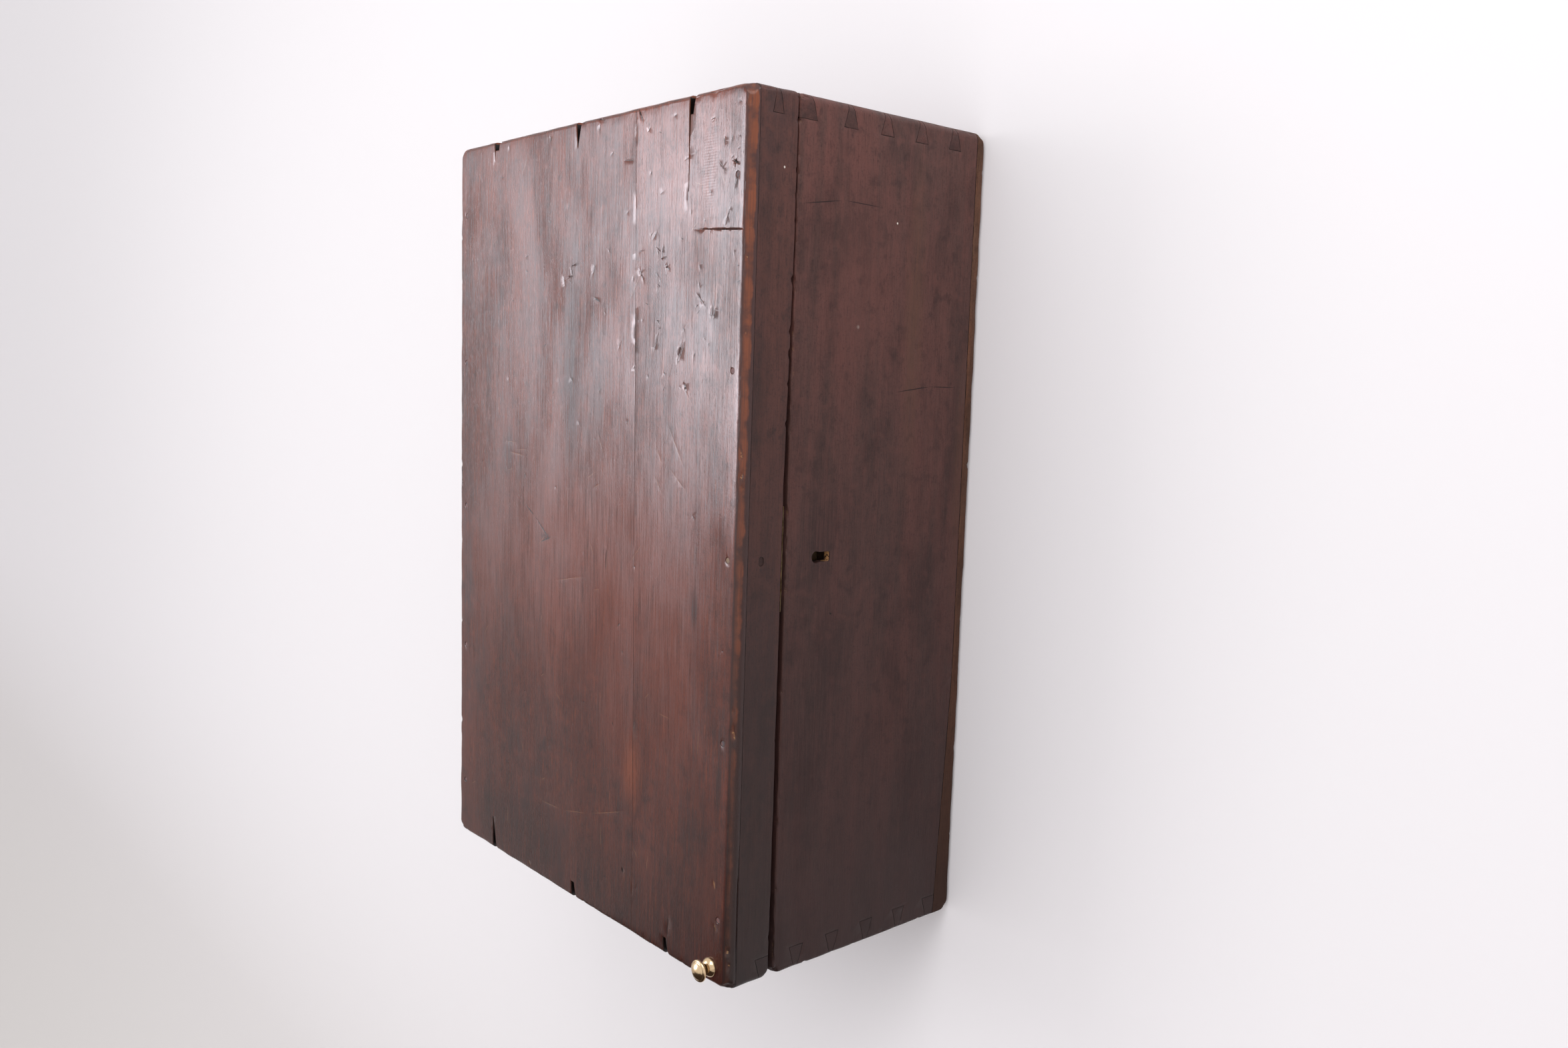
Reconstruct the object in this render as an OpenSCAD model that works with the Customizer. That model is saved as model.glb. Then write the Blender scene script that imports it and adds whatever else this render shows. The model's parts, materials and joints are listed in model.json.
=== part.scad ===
// Small wall cabinet: an old dovetailed box with a deep lid, hung on end so that the lid is its door.
// X runs to the right, Y into the wall and Z up. The origin lies on the wall, midway between the two
// hanging holes. All sizes are millimetres.

/* [Case] */
// Height of the cabinet
height = 500; // [440:10:600]
// Width of the cabinet over its sides
width = 325; // [270:5:400]
// Depth of the case, from the wall to its front edges
case_depth = 154; // [136:2:190]
// Thickness of the sides, the top and the bottom
board_t = 14; // [13:0.5:16]
// Thickness of the back board over most of its height
back_t = 8; // [6:0.5:10]
// Thickness of the back board at its foot
back_foot_t = 16; // [11:0.5:18]
// Height of the stretch over which the back board thickens
back_swell_h = 160; // [100:5:200]
// Radius of the worn case corners, seen from the front
case_corner_r = 5; // [3:0.5:8]
// Radius of the worn lower front corner of the case sides
case_heel_r = 5; // [2:0.5:6]
// Radius of the other worn edges of the case
case_edge_r = 2.5; // [1:0.5:4]

/* [Dovetails] */
// Distance from one pin to the next
pin_pitch = 29; // [26:0.5:34]
// Width of a pin at the joint line
pin_wide = 10.5; // [9:0.5:12]
// Width of a pin at the end of its board
pin_narrow = 2.2; // [1.6:0.2:4]
// Front edge of the case to the middle of the first pin of the top
top_pin_start = 38.5; // [34:0.5:42]
// Front edge of the case to the middle of the first pin of the bottom
bottom_pin_start = 18; // [14:0.5:22]
// Width of the half pin at the front of the top, at the joint line
front_half_pin = 13; // [10:0.5:16]
// Width of the half pin at the rear of the bottom, at the joint line
rear_half_pin = 10.5; // [8:0.5:13]
// Width of the pin at the top of the door rim, at the joint line
rim_pin_wide = 7.5; // [6:0.5:10]
// Panel to the middle of the pin at the top of the door rim
rim_pin_start = 12.5; // [10:0.5:18]
// Panel to the joint line edge of the half pin at the foot of the door rim
rim_half_pin_start = 13.8; // [10:0.2:18]

/* [Door] */
// Thickness of the front panel
panel_t = 6.5; // [5:0.5:9]
// Depth of the door rim
rim_depth = 27; // [22:1:36]
// Thickness of the door rim
rim_t = 14; // [13:0.5:16]
// Gap between the door and the case on the hinge side
door_gap = 0.5; // [0.4:0.1:1]
// Gap that the warped free edge adds along its lower half
door_warp = 2.5; // [0:0.5:4]
// Foot of the door to the height below which the warp is full
warp_full_h = 285; // [275:5:310]
// Foot of the door to the height above which there is no warp
warp_end_h = 430; // [400:5:440]
// Left edge of the panel to the glue line at the top
glue_line_top = 220; // [160:2:236]
// Left edge of the panel to the glue line at the foot
glue_line_foot = 230; // [160:2:240]
// Radius of the worn lower door corner on the hinge side, seen from the front
door_corner_r = 9; // [4:0.5:10]
// Radius of the less worn upper corner on the hinge side
door_hinge_corner_r = 4; // [2:0.5:8]
// Radius of the worn door corners on the free side, seen from the front
door_free_corner_r = 4; // [2:0.5:6]
// Length of edge that wear has taken off the front corners on the free side
door_corner_loss = 10; // [6:0.5:12]
// Radius of the worn front edges of the panel
panel_edge_r = 3; // [2:0.5:4]
// Radius of the most worn front edge, along the free side
panel_free_edge_r = 5.5; // [3:0.5:6]
// Radius of the worn rear edge of the rim at the top
rim_heel_r = 3; // [1:0.5:4]
// Radius of the worn rear edge of the rim at the foot
rim_foot_heel_r = 5; // [2:0.5:6]
// Edge of the panel to the outer nail notches
notch_inset = 53; // [40:1:60]
// Width of the splits that run on from the notches
split_w = 1.2; // [0.6:0.1:1.6]

/* [Knob] */
// Right edge of the door to the knob's axis
knob_inset = 16; // [15.6:0.2:18]
// Foot of the door to the knob's axis
knob_rise = 10; // [9.8:0.2:11]
// Diameter of the knob's head
knob_d = 12.8; // [11:0.2:15]
// Distance that the knob stands out from the panel
knob_reach = 11.4; // [11:0.2:14]
// Thickness of the knob's head
knob_head_t = 6.2; // [5:0.2:6.4]
// Diameter of the knob's stem
knob_stem_d = 5.6; // [4.8:0.2:6]
// Diameter of the rose under the knob
rose_d = 11.2; // [10:0.2:12]
// Thickness of the rose
rose_t = 4; // [3:0.2:4.2]
// Diameter of the knob's screw
knob_screw_d = 3; // [2.4:0.2:3.2]
// Length of the knob's screw in the wood
knob_screw_bite = 20; // [12:1:22]
// Length of the knob's screw outside the wood
knob_screw_grip = 5; // [4:0.5:6]

/* [Nails] */
// Diameter of the nails
nail_d = 1.8; // [1.4:0.2:2.4]
// Diameter of a nail's head
nail_head_d = 3.2; // [2.8:0.2:4]
// Thickness of a nail's head
nail_head_t = 0.8; // [0.6:0.1:1]
// Depth of a nail's head below the wood
nail_sink = 0.3; // [0.1:0.1:0.5]
// Length of the nails of the panel
panel_nail_len = 24; // [16:1:26]
// Length of the nails of the back
back_nail_len = 32; // [26:1:36]
// Length of the nails of the cleats
cleat_nail_len = 21; // [18:0.5:22]
// Length of the nails of the shelf
shelf_nail_len = 19; // [16:1:20]
// Edge of the door to its nails
panel_nail_inset = 10; // [9:0.5:10.5]
// Foot of the door to its lowest nails
panel_nail_foot = 40; // [30:1:50]
// Top of the door to its highest nails
panel_nail_top = 47; // [40:1:60]
// Number of nails along each side of the panel
panel_nail_count = 5; // [3:1:7]
// Ends of the cabinet to the outer side nails of the back
back_nail_end = 70; // [50:5:90]
// Number of nails along each side of the back
back_nail_count = 4; // [3:1:6]
// Middle of the cabinet to the nails along the ends of the back
back_end_nail_x = 65; // [40:5:80]
// Ends of a cleat to the nails that hold it
cleat_nail_inset = 16; // [12:1:24]
// Nail of a cleat to the next nail of the shelf
shelf_nail_shift = 8; // [6:0.5:12]
// Width of the plug in the right rim
plug_w = 3.2; // [2.6:0.2:4]
// Height of the plug in the right rim
plug_h = 5; // [4.4:0.2:6]
// Length of the plug in the right rim
plug_len = 7; // [5:0.5:7.5]
// Panel to the middle of the plug
plug_back = 9.5; // [6:0.5:14]
// Key's axis to the middle of the plug
plug_rise = 0.5; // [-2:0.5:2]

/* [Shelf] */
// Foot of the cabinet to the top of the shelf
shelf_h = 310; // [290:5:350]
// Thickness of the shelf
shelf_t = 9; // [8:0.5:12]
// Front edge of the case to the front of the shelf
shelf_setback = 12; // [6:1:30]
// Width of a cleat
cleat_w = 12; // [11:0.5:14]
// Height of a cleat
cleat_h = 14; // [11:0.5:18]
// Front of the shelf to the front of its cleats
cleat_setback = 4; // [2:1:20]

/* [Hinges] */
// Length of a hinge
hinge_len = 50; // [44:2:60]
// Middle of a hinge to the nearer end of the cabinet
hinge_inset = 85; // [70:5:110]
// Width of a leaf on the wood
leaf_w = 12; // [10:0.5:13]
// Thickness of a leaf
leaf_t = 1.5; // [1.2:0.1:2]
// Radius of the knuckles
knuckle_r = 2.6; // [2.4:0.1:3.2]
// Diameter of the hinge pins
hinge_pin_d = 2.5; // [2:0.1:3]
// Diameter of the hinge screws
hinge_screw_d = 2.4; // [2:0.1:3]
// Length of the hinge screws
hinge_screw_len = 13; // [8:0.5:16]
// Middle of a hinge to its outer screws
hinge_screw_step = 16; // [14:0.5:18]

/* [Lock] */
// Foot of the cabinet to the key's axis
key_h = 245.5; // [230:0.5:252]
// Front edge of the case to the key's axis
key_back = 23.3; // [22:0.1:25]
// Radius of the round end of the keyhole
keyhole_r = 3.4; // [3:0.1:4]
// Width of the keyhole's slot
keyhole_slot_w = 5.6; // [5:0.1:6.5]
// Key's axis to the far end of the slot
keyhole_reach = 10.4; // [9:0.2:11]
// Radius of the far corners of the slot
keyhole_end_r = 1; // [0.5:0.1:1.5]
// Height of the lock plate
lock_plate_h = 60; // [58:1:66]
// Depth of the lock plate from the front edge
lock_plate_d = 39; // [38:0.5:42]
// Thickness of the lock plate and of the link plate
lock_plate_t = 1.5; // [1.2:0.1:1.8]
// Width of the plate's flange on the front edge
lock_flange_w = 10.5; // [10:0.2:11.5]
// Height of the lock's cover
lock_cover_h = 48; // [48:0.5:50]
// Depth of the lock's cover behind the flange
lock_cover_d = 35; // [34:0.5:36]
// Thickness of the lock behind its plate
lock_cover_t = 7.5; // [7.4:0.1:8]
// Wall of the lock's cover
lock_wall = 1.2; // [1:0.1:1.2]
// Diameter of the pin that the key turns on
lock_pin_d = 2.8; // [2.4:0.1:3.2]
// Travel of the bolt
bolt_travel = 6; // [5:0.5:6]
// Thickness of the bolt's fingers
bolt_finger_t = 2.6; // [2.2:0.1:2.8]
// Middle of the lock to each staple
staple_step = 9; // [9:0.5:10]
// Thickness of a staple
staple_t = 2.6; // [2:0.1:2.8]
// Width of a staple's legs
staple_leg = 1.2; // [1:0.1:1.3]
// Height of the link plate
link_plate_h = 52; // [50:1:58]
// Diameter of the lock's screws
lock_screw_d = 2.2; // [2:0.1:2.6]
// Length of the lock's screws
lock_screw_len = 9; // [6:0.5:10]
// Edges of the lock plate to its screws
lock_screw_inset = 6; // [5:0.5:8]

/* [Hanging] */
// Distance between the hanging holes
hang_span = 180; // [120:5:200]
// Diameter of the hanging holes
hang_hole_d = 5.5; // [4.5:0.1:6.5]
// Top of the cabinet to the hanging holes
hang_drop = 45; // [35:1:60]

/* [Fits] */
// Clearance round nails, screws and plugs
fit = 0.05; // [0.03:0.01:0.1]
// Running clearance between a hinge pin and its bore
pin_fit = 0.05; // [0.03:0.01:0.1]
// Clearance between parts that slide or swing past each other
slide_fit = 0.3; // [0.2:0.05:0.4]

/* [Hidden] */
$fn = 64;

// Colours
wood = "#5d3220";
wood_red = "#6b2f1c";
wood_plain = "#7a5638";
brass = "#c09a4a";
iron = "#4b4743";

// Overall places
top_z = hang_drop;
foot_z = top_z - height;
right_x = width / 2;
left_x = -right_x;
case_front = -case_depth;
rim_rear = case_front - door_gap;
panel_rear = rim_rear - rim_depth;
door_front = panel_rear - panel_t;
inner_x = right_x - board_t;
free_rear = rim_rear - door_warp;
joint_edge_r = 1;
overcut = 1;

// Joint slopes and pin counts
pin_lean = (pin_wide - pin_narrow) / 2 / board_t;
rim_pin_lean = (rim_pin_wide - pin_narrow) / 2 / rim_t;
back_front = -back_t;
back_foot_front = -back_foot_t;
pin_shoulder = 6;
top_pin_room = back_front - case_front - top_pin_start - pin_wide / 2 - pin_shoulder;
top_pin_count = floor(top_pin_room / pin_pitch) + 1;
rear_half_start = back_foot_front - rear_half_pin;
bottom_pin_room = rear_half_start - case_front - bottom_pin_start - pin_wide / 2 - pin_shoulder;
bottom_pin_count = floor(bottom_pin_room / pin_pitch) + 1;

// Notches along an edge of the panel: shift along the edge, depth, width of the mouth, width and lean of
// the floor, and length of the split that runs on from it
top_notches = [[0, 6.5, 8, 6, 0.5, 5], [-5, 16, 7, 0.6, -1, 0], [2, 11, 6, 3.5, -1, 40]];
foot_notches = [[2, 24, 6, 0.6, -2.5, 0], [0, 11, 6, 3.5, -2, 0], [-6, 11, 5.5, 3, -2, 0]];

// Shares of the knob's head, and the rise of the rose above its edge where the stem cuts it off
knob_roll_share = 1 / 6;
knob_face_share = 0.55;
rose_rim_share = 1 / 5;
rose_crown = 0.4;

// Hinge places
hinge_x = left_x - knuckle_r - slide_fit;
hinge_y = case_front - door_gap / 2;
upper_hinge_z = top_z - hinge_inset;
lower_hinge_z = foot_z + hinge_inset;
knuckle_count = 5;
knuckle_pitch = hinge_len / knuckle_count;
leaf_end_x = left_x + leaf_w;
leaf_start_x = hinge_x + knuckle_r + slide_fit;
hinge_screw_x = left_x + leaf_w / 2;

// Screw heads and their slots
screw_head_ratio = 1.9;
screw_slot_w = 0.5;
screw_slot_share = 0.4;

// Lock places
key_z = foot_z + key_h;
key_y = case_front + key_back;
plate_x = inner_x + lock_plate_t;
cover_x = plate_x + lock_cover_t;
cavity_x = cover_x - lock_wall;
flange_rear = case_front + lock_plate_t;
staple_x = plate_x + slide_fit;
eye_w = bolt_finger_t + 2 * slide_fit;
staple_w = eye_w + 2 * staple_leg;
finger_x = staple_x + staple_leg + slide_fit;
finger_set = 3.5;
finger_y = flange_rear + finger_set;
finger_w = 3;
eye_slack = 0.5;
eye_front = finger_y - eye_slack;
eye_rear = finger_y + finger_w + eye_slack;
staple_wall = 1.4;
staple_end = eye_rear + staple_wall;
bar_clear = 0.8;
bar_y = staple_end + bar_clear;
bar_w = 7.5;
bar_rear = bar_y + bar_w;
finger_leg = 4;
finger_over = 0.2;
finger_clear = 0.5;
finger_lead = staple_t / 2 + finger_clear;
leg_low = staple_step - finger_lead - bolt_travel - finger_leg;
bar_low = -staple_step - finger_lead - bolt_travel - finger_leg;
bar_high = 12;
stud_r = 1.2;
stud_set = 2.6;
stud_y = bar_y + stud_set;
stud_heights = [-13, 5];
talon_r = 2.6;
talon_z = -4;
lock_pin_clear = 0.5;
lock_screw_z = (lock_plate_h + lock_cover_h) / 4;
link_margin = 1;
link_screw_shift = 2;
link_screw_z = (link_plate_h / 2 + staple_step) / 2 + link_screw_shift;
spring_t = 0.4;
spring_half = 13;
spring_w = 2.6;
spring_clear = 0.2;
bar_x = finger_x + bolt_finger_t;
spring_rise = cavity_x - bar_x - spring_t - spring_clear;
spring_r = (pow(spring_half, 2) + pow(spring_rise, 2)) / (2 * spring_rise);

// Shelf places
shelf_front = case_front + shelf_setback;
shelf_top = foot_z + shelf_h;
cleat_front = shelf_front + cleat_setback;
cleat_top = shelf_top - shelf_t;
cleat_ends = [[cleat_front, 1], [back_front, -1]];

// Extrusions along each axis of the cabinet
module along_x(x, len) {
    translate([x, 0, 0]) rotate([90, 0, 90]) linear_extrude(len) children();
}

module along_y(y, len) {
    translate([0, y + len, 0]) rotate([90, 0, 0]) linear_extrude(len) children();
}

module along_z(z, len) {
    translate([0, 0, z]) linear_extrude(len) children();
}

// Box given by its low and high corners
module block(low, high) {
    translate(low) cube(high - low);
}

// What a round of radius r takes off a corner whose inside lies the way that toward points
module corner_cut(corner, toward, r) {
    translate(corner) difference() {
        square(2 * r, center = true);
        translate(toward * r) circle(r);
    }
}

// Rectangle with its own radius at each corner: low left, low right, high left, high right
module worn_rectangle(low, high, radii) {
    difference() {
        translate(low) square(high - low);
        for (i = [0 : 3])
            if (radii[i] > 0) {
                toward = [i % 2 == 0 ? 1 : -1, i < 2 ? 1 : -1];
                corner = [toward[0] > 0 ? low[0] : high[0], toward[1] > 0 ? low[1] : high[1]];
                corner_cut(corner, toward, radii[i]);
            }
    }
}

// Outer form of the case, worn round at its corners and edges
module case_form() {
    corner = case_corner_r;
    edge = case_edge_r;
    intersection() {
        along_x(left_x - overcut, width + 2 * overcut)
            worn_rectangle([case_front, foot_z], [0, top_z], [case_heel_r, corner, edge, corner]);
        along_y(case_front - overcut, case_depth + 2 * overcut)
            worn_rectangle([left_x, foot_z], [right_x, top_z], [edge, edge, corner, corner]);
        along_z(foot_z - overcut, height + 2 * overcut)
            worn_rectangle([left_x, case_front], [right_x, 0], [joint_edge_r, joint_edge_r, edge, edge]);
    }
}

// What wear takes off an upper or a lower front corner of the door on its free side
module door_corner_cut(corner_z, toward) {
    ball_in = 4 * door_corner_loss;
    edge_in = ball_in - door_corner_loss;
    ball_r = sqrt(2 * pow(ball_in, 2) + pow(edge_in, 2));
    translate([right_x, door_front, corner_z]) difference() {
        cube(2 * door_corner_loss, center = true);
        translate([-ball_in, ball_in, toward * ball_in]) sphere(ball_r);
    }
}

// Outer form of the door, apart from the worn heel along its foot
module door_form() {
    edge = panel_edge_r;
    corner = door_free_corner_r;
    front_radii = [door_corner_r, corner, door_hinge_corner_r, corner];
    plan_radii = [edge, panel_free_edge_r, joint_edge_r, joint_edge_r];
    difference() {
        intersection() {
            along_x(left_x - overcut, width + 2 * overcut)
                worn_rectangle([door_front, foot_z], [rim_rear, top_z], [edge, 0, edge, rim_heel_r]);
            along_y(door_front - overcut, rim_rear - door_front + 2 * overcut)
                worn_rectangle([left_x, foot_z], [right_x, top_z], front_radii);
            along_z(foot_z - overcut, height + 2 * overcut)
                worn_rectangle([left_x, door_front], [right_x, rim_rear], plan_radii);
        }
        door_corner_cut(top_z, -1);
        door_corner_cut(foot_z, 1);
    }
}

// Outline of one dovetail pin, from its joint line to past the end of the board
module pin_outline(y_low, y_high, lean_low, lean_high, joint_z, toward, run) {
    end_z = joint_z + toward * run;
    polygon([
        [y_low, joint_z],
        [y_high, joint_z],
        [y_high - lean_high * run, end_z],
        [y_low + lean_low * run, end_z],
    ]);
}

module whole_pin(y, joint_z, toward, run) {
    pin_outline(y - pin_wide / 2, y + pin_wide / 2, pin_lean, pin_lean, joint_z, toward, run);
}

module top_pins(over = 0) {
    joint_z = top_z - board_t;
    run = board_t + over;
    pin_outline(case_front - overcut, case_front + front_half_pin, 0, pin_lean, joint_z, 1, run);
    for (k = [0 : top_pin_count - 1])
        whole_pin(case_front + top_pin_start + k * pin_pitch, joint_z, 1, run);
}

module bottom_pins(over = 0) {
    joint_z = foot_z + board_t;
    run = board_t + over;
    pin_outline(rear_half_start, back_front, pin_lean, 0, joint_z, -1, run);
    for (k = [0 : bottom_pin_count - 1])
        whole_pin(case_front + bottom_pin_start + k * pin_pitch, joint_z, -1, run);
}

module rim_top_pin(over = 0) {
    y = panel_rear + rim_pin_start;
    half = rim_pin_wide / 2;
    pin_outline(y - half, y + half, rim_pin_lean, rim_pin_lean, top_z - rim_t, 1, rim_t + over);
}

module rim_foot_pin(over = 0) {
    start = panel_rear + rim_half_pin_start;
    pin_outline(start, rim_rear + overcut, pin_lean, 0, foot_z + rim_t, -1, rim_t + over);
}

// Nail with its head at the origin and its point towards +Z
module nail(len) {
    point = 2 * nail_d;
    translate([0, 0, nail_sink]) cylinder(h = nail_head_t, d = nail_head_d);
    translate([0, 0, nail_sink]) cylinder(h = len - point, d = nail_d);
    translate([0, 0, nail_sink + len - point]) cylinder(h = point, d1 = nail_d, d2 = nail_d / 4);
}

module nail_hole(len) {
    translate([0, 0, -overcut])
        cylinder(h = overcut + nail_sink + nail_head_t, d = nail_head_d + 2 * fit);
    translate([0, 0, -overcut]) cylinder(h = overcut + nail_sink + len, d = nail_d + 2 * fit);
}

// Countersunk screw with its head at the origin and its point towards +Z
module wood_screw(d, len) {
    head_t = d * (screw_head_ratio - 1) / 2;
    difference() {
        union() {
            cylinder(h = head_t, d1 = d * screw_head_ratio, d2 = d);
            cylinder(h = len - d, d = d);
            translate([0, 0, len - d]) cylinder(h = d, d1 = d, d2 = d / 5);
        }
        block([-d, -screw_slot_w / 2, -overcut], [d, screw_slot_w / 2, screw_slot_share * head_t]);
    }
}

module screw_hole(d, len) {
    head_t = d * (screw_head_ratio - 1) / 2;
    translate([0, 0, -overcut]) cylinder(h = overcut, d = d * screw_head_ratio + 2 * fit);
    cylinder(h = head_t, d1 = d * screw_head_ratio + 2 * fit, d2 = d + 2 * fit);
    translate([0, 0, -overcut]) cylinder(h = overcut + len + fit, d = d + 2 * fit);
}

// Places of the fasteners
module panel_nail_places() {
    step = (height - panel_nail_foot - panel_nail_top) / (panel_nail_count - 1);
    for (side = [-1, 1], k = [0 : panel_nail_count - 1])
        translate([side * (right_x - panel_nail_inset), door_front, foot_z + panel_nail_foot + k * step])
            rotate([-90, 0, 0]) children();
}

module back_nail_places() {
    edge = max(board_t / 2, case_corner_r + nail_head_d / 2 + fit);
    step = (height - 2 * back_nail_end) / (back_nail_count - 1);
    for (side = [-1, 1]) {
        for (k = [0 : back_nail_count - 1])
            translate([side * (right_x - edge), 0, foot_z + back_nail_end + k * step])
                rotate([90, 0, 0]) children();
        for (z = [foot_z + edge, top_z - edge])
            translate([side * back_end_nail_x, 0, z]) rotate([90, 0, 0]) children();
    }
}

module cleat_nail_places(side) {
    for (end = cleat_ends)
        translate([
            side * (inner_x - cleat_w),
            end[0] + end[1] * cleat_nail_inset,
            cleat_top - cleat_h / 2,
        ]) rotate([0, side * 90, 0]) children();
}

module shelf_nail_places() {
    for (side = [-1, 1], end = cleat_ends)
        translate([
            side * (inner_x - cleat_w / 2),
            end[0] + end[1] * (cleat_nail_inset + shelf_nail_shift),
            shelf_top,
        ]) rotate([180, 0, 0]) children();
}

module hinge_screw_places(facing) {
    for (z = [upper_hinge_z, lower_hinge_z], k = [-1 : 1])
        translate([hinge_screw_x, hinge_y + facing * door_gap / 2, z + k * hinge_screw_step])
            rotate([-90 * facing, 0, 0]) children();
}

module lock_screw_places() {
    rows = [flange_rear + lock_screw_inset, case_front + lock_plate_d - lock_screw_inset];
    for (toward = [-1, 1], y = rows)
        translate([inner_x, y, key_z + toward * lock_screw_z]) rotate([0, 90, 0]) children();
}

module link_screw_places() {
    for (toward = [-1, 1])
        translate([staple_x + staple_w / 2, free_rear, key_z + toward * link_screw_z])
            rotate([90, 0, 0]) children();
}

module hanging_holes() {
    for (side = [-1, 1])
        translate([side * hang_span / 2, overcut, 0]) rotate([90, 0, 0])
            cylinder(h = back_t + 2 * overcut, d = hang_hole_d);
}

// Back board without its worn edges, which every case board stops against
module back_slab() {
    along_x(left_x - overcut, width + 2 * overcut) polygon([
        [back_front, top_z + overcut],
        [overcut, top_z + overcut],
        [overcut, foot_z - overcut],
        [back_foot_front, foot_z - overcut],
        [back_foot_front, foot_z],
        [back_front, foot_z + back_swell_h],
    ]);
}

// Case boards
module side_board(x) {
    difference() {
        intersection() {
            block([x, case_front, foot_z], [x + board_t, 0, top_z]);
            case_form();
        }
        back_slab();
        along_x(x - overcut, board_t + 2 * overcut) {
            top_pins(overcut);
            bottom_pins(overcut);
        }
        back_nail_places() nail_hole(back_nail_len);
    }
}

module side_left() {
    color(wood) difference() {
        side_board(left_x);
        hinge_beds(1);
        hinge_screw_places(1) screw_hole(hinge_screw_d, hinge_screw_len);
        cleat_nail_places(-1) nail_hole(cleat_nail_len);
    }
}

module side_right() {
    color(wood) difference() {
        side_board(inner_x);
        lock_mortise();
        keyhole(plate_x, right_x + overcut);
        lock_screw_places() screw_hole(lock_screw_d, lock_screw_len);
        cleat_nail_places(1) nail_hole(cleat_nail_len);
    }
}

module end_board(low_z) {
    difference() {
        intersection() {
            union() {
                block([-inner_x, case_front, low_z], [inner_x, 0, low_z + board_t]);
                for (x = [left_x, inner_x - overcut])
                    along_x(x, board_t + overcut) children();
            }
            case_form();
        }
        back_slab();
        back_nail_places() nail_hole(back_nail_len);
    }
}

module top_board() {
    color(wood) end_board(top_z - board_t) top_pins();
}

module bottom_board() {
    color(wood) end_board(foot_z) bottom_pins();
}

module back_board() {
    color(wood_plain) difference() {
        intersection() {
            back_slab();
            case_form();
        }
        hanging_holes();
        back_nail_places() nail_hole(back_nail_len);
    }
}

module back_nails() {
    color(iron) back_nail_places() nail(back_nail_len);
}

// Shelf on its cleats
module shelf() {
    end_x = inner_x - slide_fit;
    color(wood_plain) difference() {
        block([-end_x, shelf_front, cleat_top], [end_x, back_front, shelf_top]);
        shelf_nail_places() nail_hole(shelf_nail_len);
    }
}

module shelf_cleat(side) {
    reach = side * (inner_x - cleat_w / 2);
    color(wood_plain) difference() {
        block(
            [reach - cleat_w / 2, cleat_front, cleat_top - cleat_h],
            [reach + cleat_w / 2, back_front, cleat_top]
        );
        cleat_nail_places(side) nail_hole(cleat_nail_len);
        shelf_nail_places() nail_hole(shelf_nail_len);
    }
}

module shelf_cleat_left() {
    shelf_cleat(-1);
}

module shelf_cleat_right() {
    shelf_cleat(1);
}

module cleat_nails() {
    color(iron) for (side = [-1, 1])
        cleat_nail_places(side) nail(cleat_nail_len);
}

module shelf_nails() {
    color(iron) shelf_nail_places() nail(shelf_nail_len);
}

// Panel of the door: two boards with a slanting glue line
module notch_outline(x, edge_z, toward, notch) {
    mouth_z = edge_z + toward * overcut;
    floor_z = edge_z - toward * notch[1];
    floor_x = x + notch[4] - notch[3] / 2;
    split_end = [floor_x + split_w / 2, floor_z - toward * notch[5]];
    split = notch[5] > 0 ? [[floor_x + split_w, floor_z], split_end] : [];
    polygon(concat(
        [[x - notch[2] / 2, mouth_z], [x + notch[2] / 2, mouth_z], [floor_x + notch[3], floor_z]],
        split,
        [[floor_x, floor_z]]
    ));
}

module panel_notches() {
    step = (width - 2 * notch_inset) / 2;
    along_y(door_front - overcut, panel_t + overcut)
        for (k = [0 : 2]) {
            x = left_x + notch_inset + k * step;
            notch_outline(x + top_notches[k][0], top_z, 1, top_notches[k]);
            notch_outline(x + foot_notches[k][0], foot_z, -1, foot_notches[k]);
        }
}

module panel_board() {
    difference() {
        intersection() {
            along_y(door_front, panel_t) children();
            door_form();
        }
        panel_notches();
        panel_nail_places() nail_hole(panel_nail_len);
        knob_screw_hole();
    }
}

module door_board_wide() {
    color(wood_red) panel_board() polygon([
        [left_x, foot_z],
        [left_x + glue_line_foot, foot_z],
        [left_x + glue_line_top, top_z],
        [left_x, top_z],
    ]);
}

module door_board_narrow() {
    color(wood_red) panel_board() polygon([
        [left_x + glue_line_foot, foot_z],
        [right_x, foot_z],
        [right_x, top_z],
        [left_x + glue_line_top, top_z],
    ]);
}

// Rim of the door, with the wedge that the warp takes off its free edge and its foot
module free_edge_wedge() {
    along_x(right_x - rim_t - overcut, rim_t + 2 * overcut) polygon([
        [free_rear, foot_z - overcut],
        [rim_rear + overcut, foot_z - overcut],
        [rim_rear + overcut, foot_z + warp_end_h],
        [rim_rear, foot_z + warp_end_h],
        [free_rear, foot_z + warp_full_h],
    ]);
}

module foot_wedge() {
    slant = atan2(door_warp, width - 2 * rim_t);
    translate([left_x + rim_t, rim_rear, foot_z]) rotate([0, 0, -slant])
        along_x(-rim_t - overcut, width + 2 * overcut) {
            translate([0, -overcut]) square([door_warp + overcut, rim_t + 2 * overcut]);
            corner_cut([0, 0], [-1, 1], rim_foot_heel_r);
        }
}

module rim_side(x) {
    difference() {
        intersection() {
            block([x, panel_rear, foot_z], [x + rim_t, rim_rear, top_z]);
            door_form();
        }
        along_x(x - overcut, rim_t + 2 * overcut) {
            rim_top_pin(overcut);
            rim_foot_pin(overcut);
        }
        panel_nail_places() nail_hole(panel_nail_len);
    }
}

module door_rim_left() {
    color(wood) difference() {
        rim_side(left_x);
        hinge_beds(-1);
        hinge_screw_places(-1) screw_hole(hinge_screw_d, hinge_screw_len);
    }
}

module door_rim_right() {
    color(wood) difference() {
        rim_side(right_x - rim_t);
        free_edge_wedge();
        link_bed();
        link_screw_places() screw_hole(lock_screw_d, lock_screw_len);
        along_x(right_x - plug_len, plug_len + overcut) plug_outline(fit);
    }
}

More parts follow.
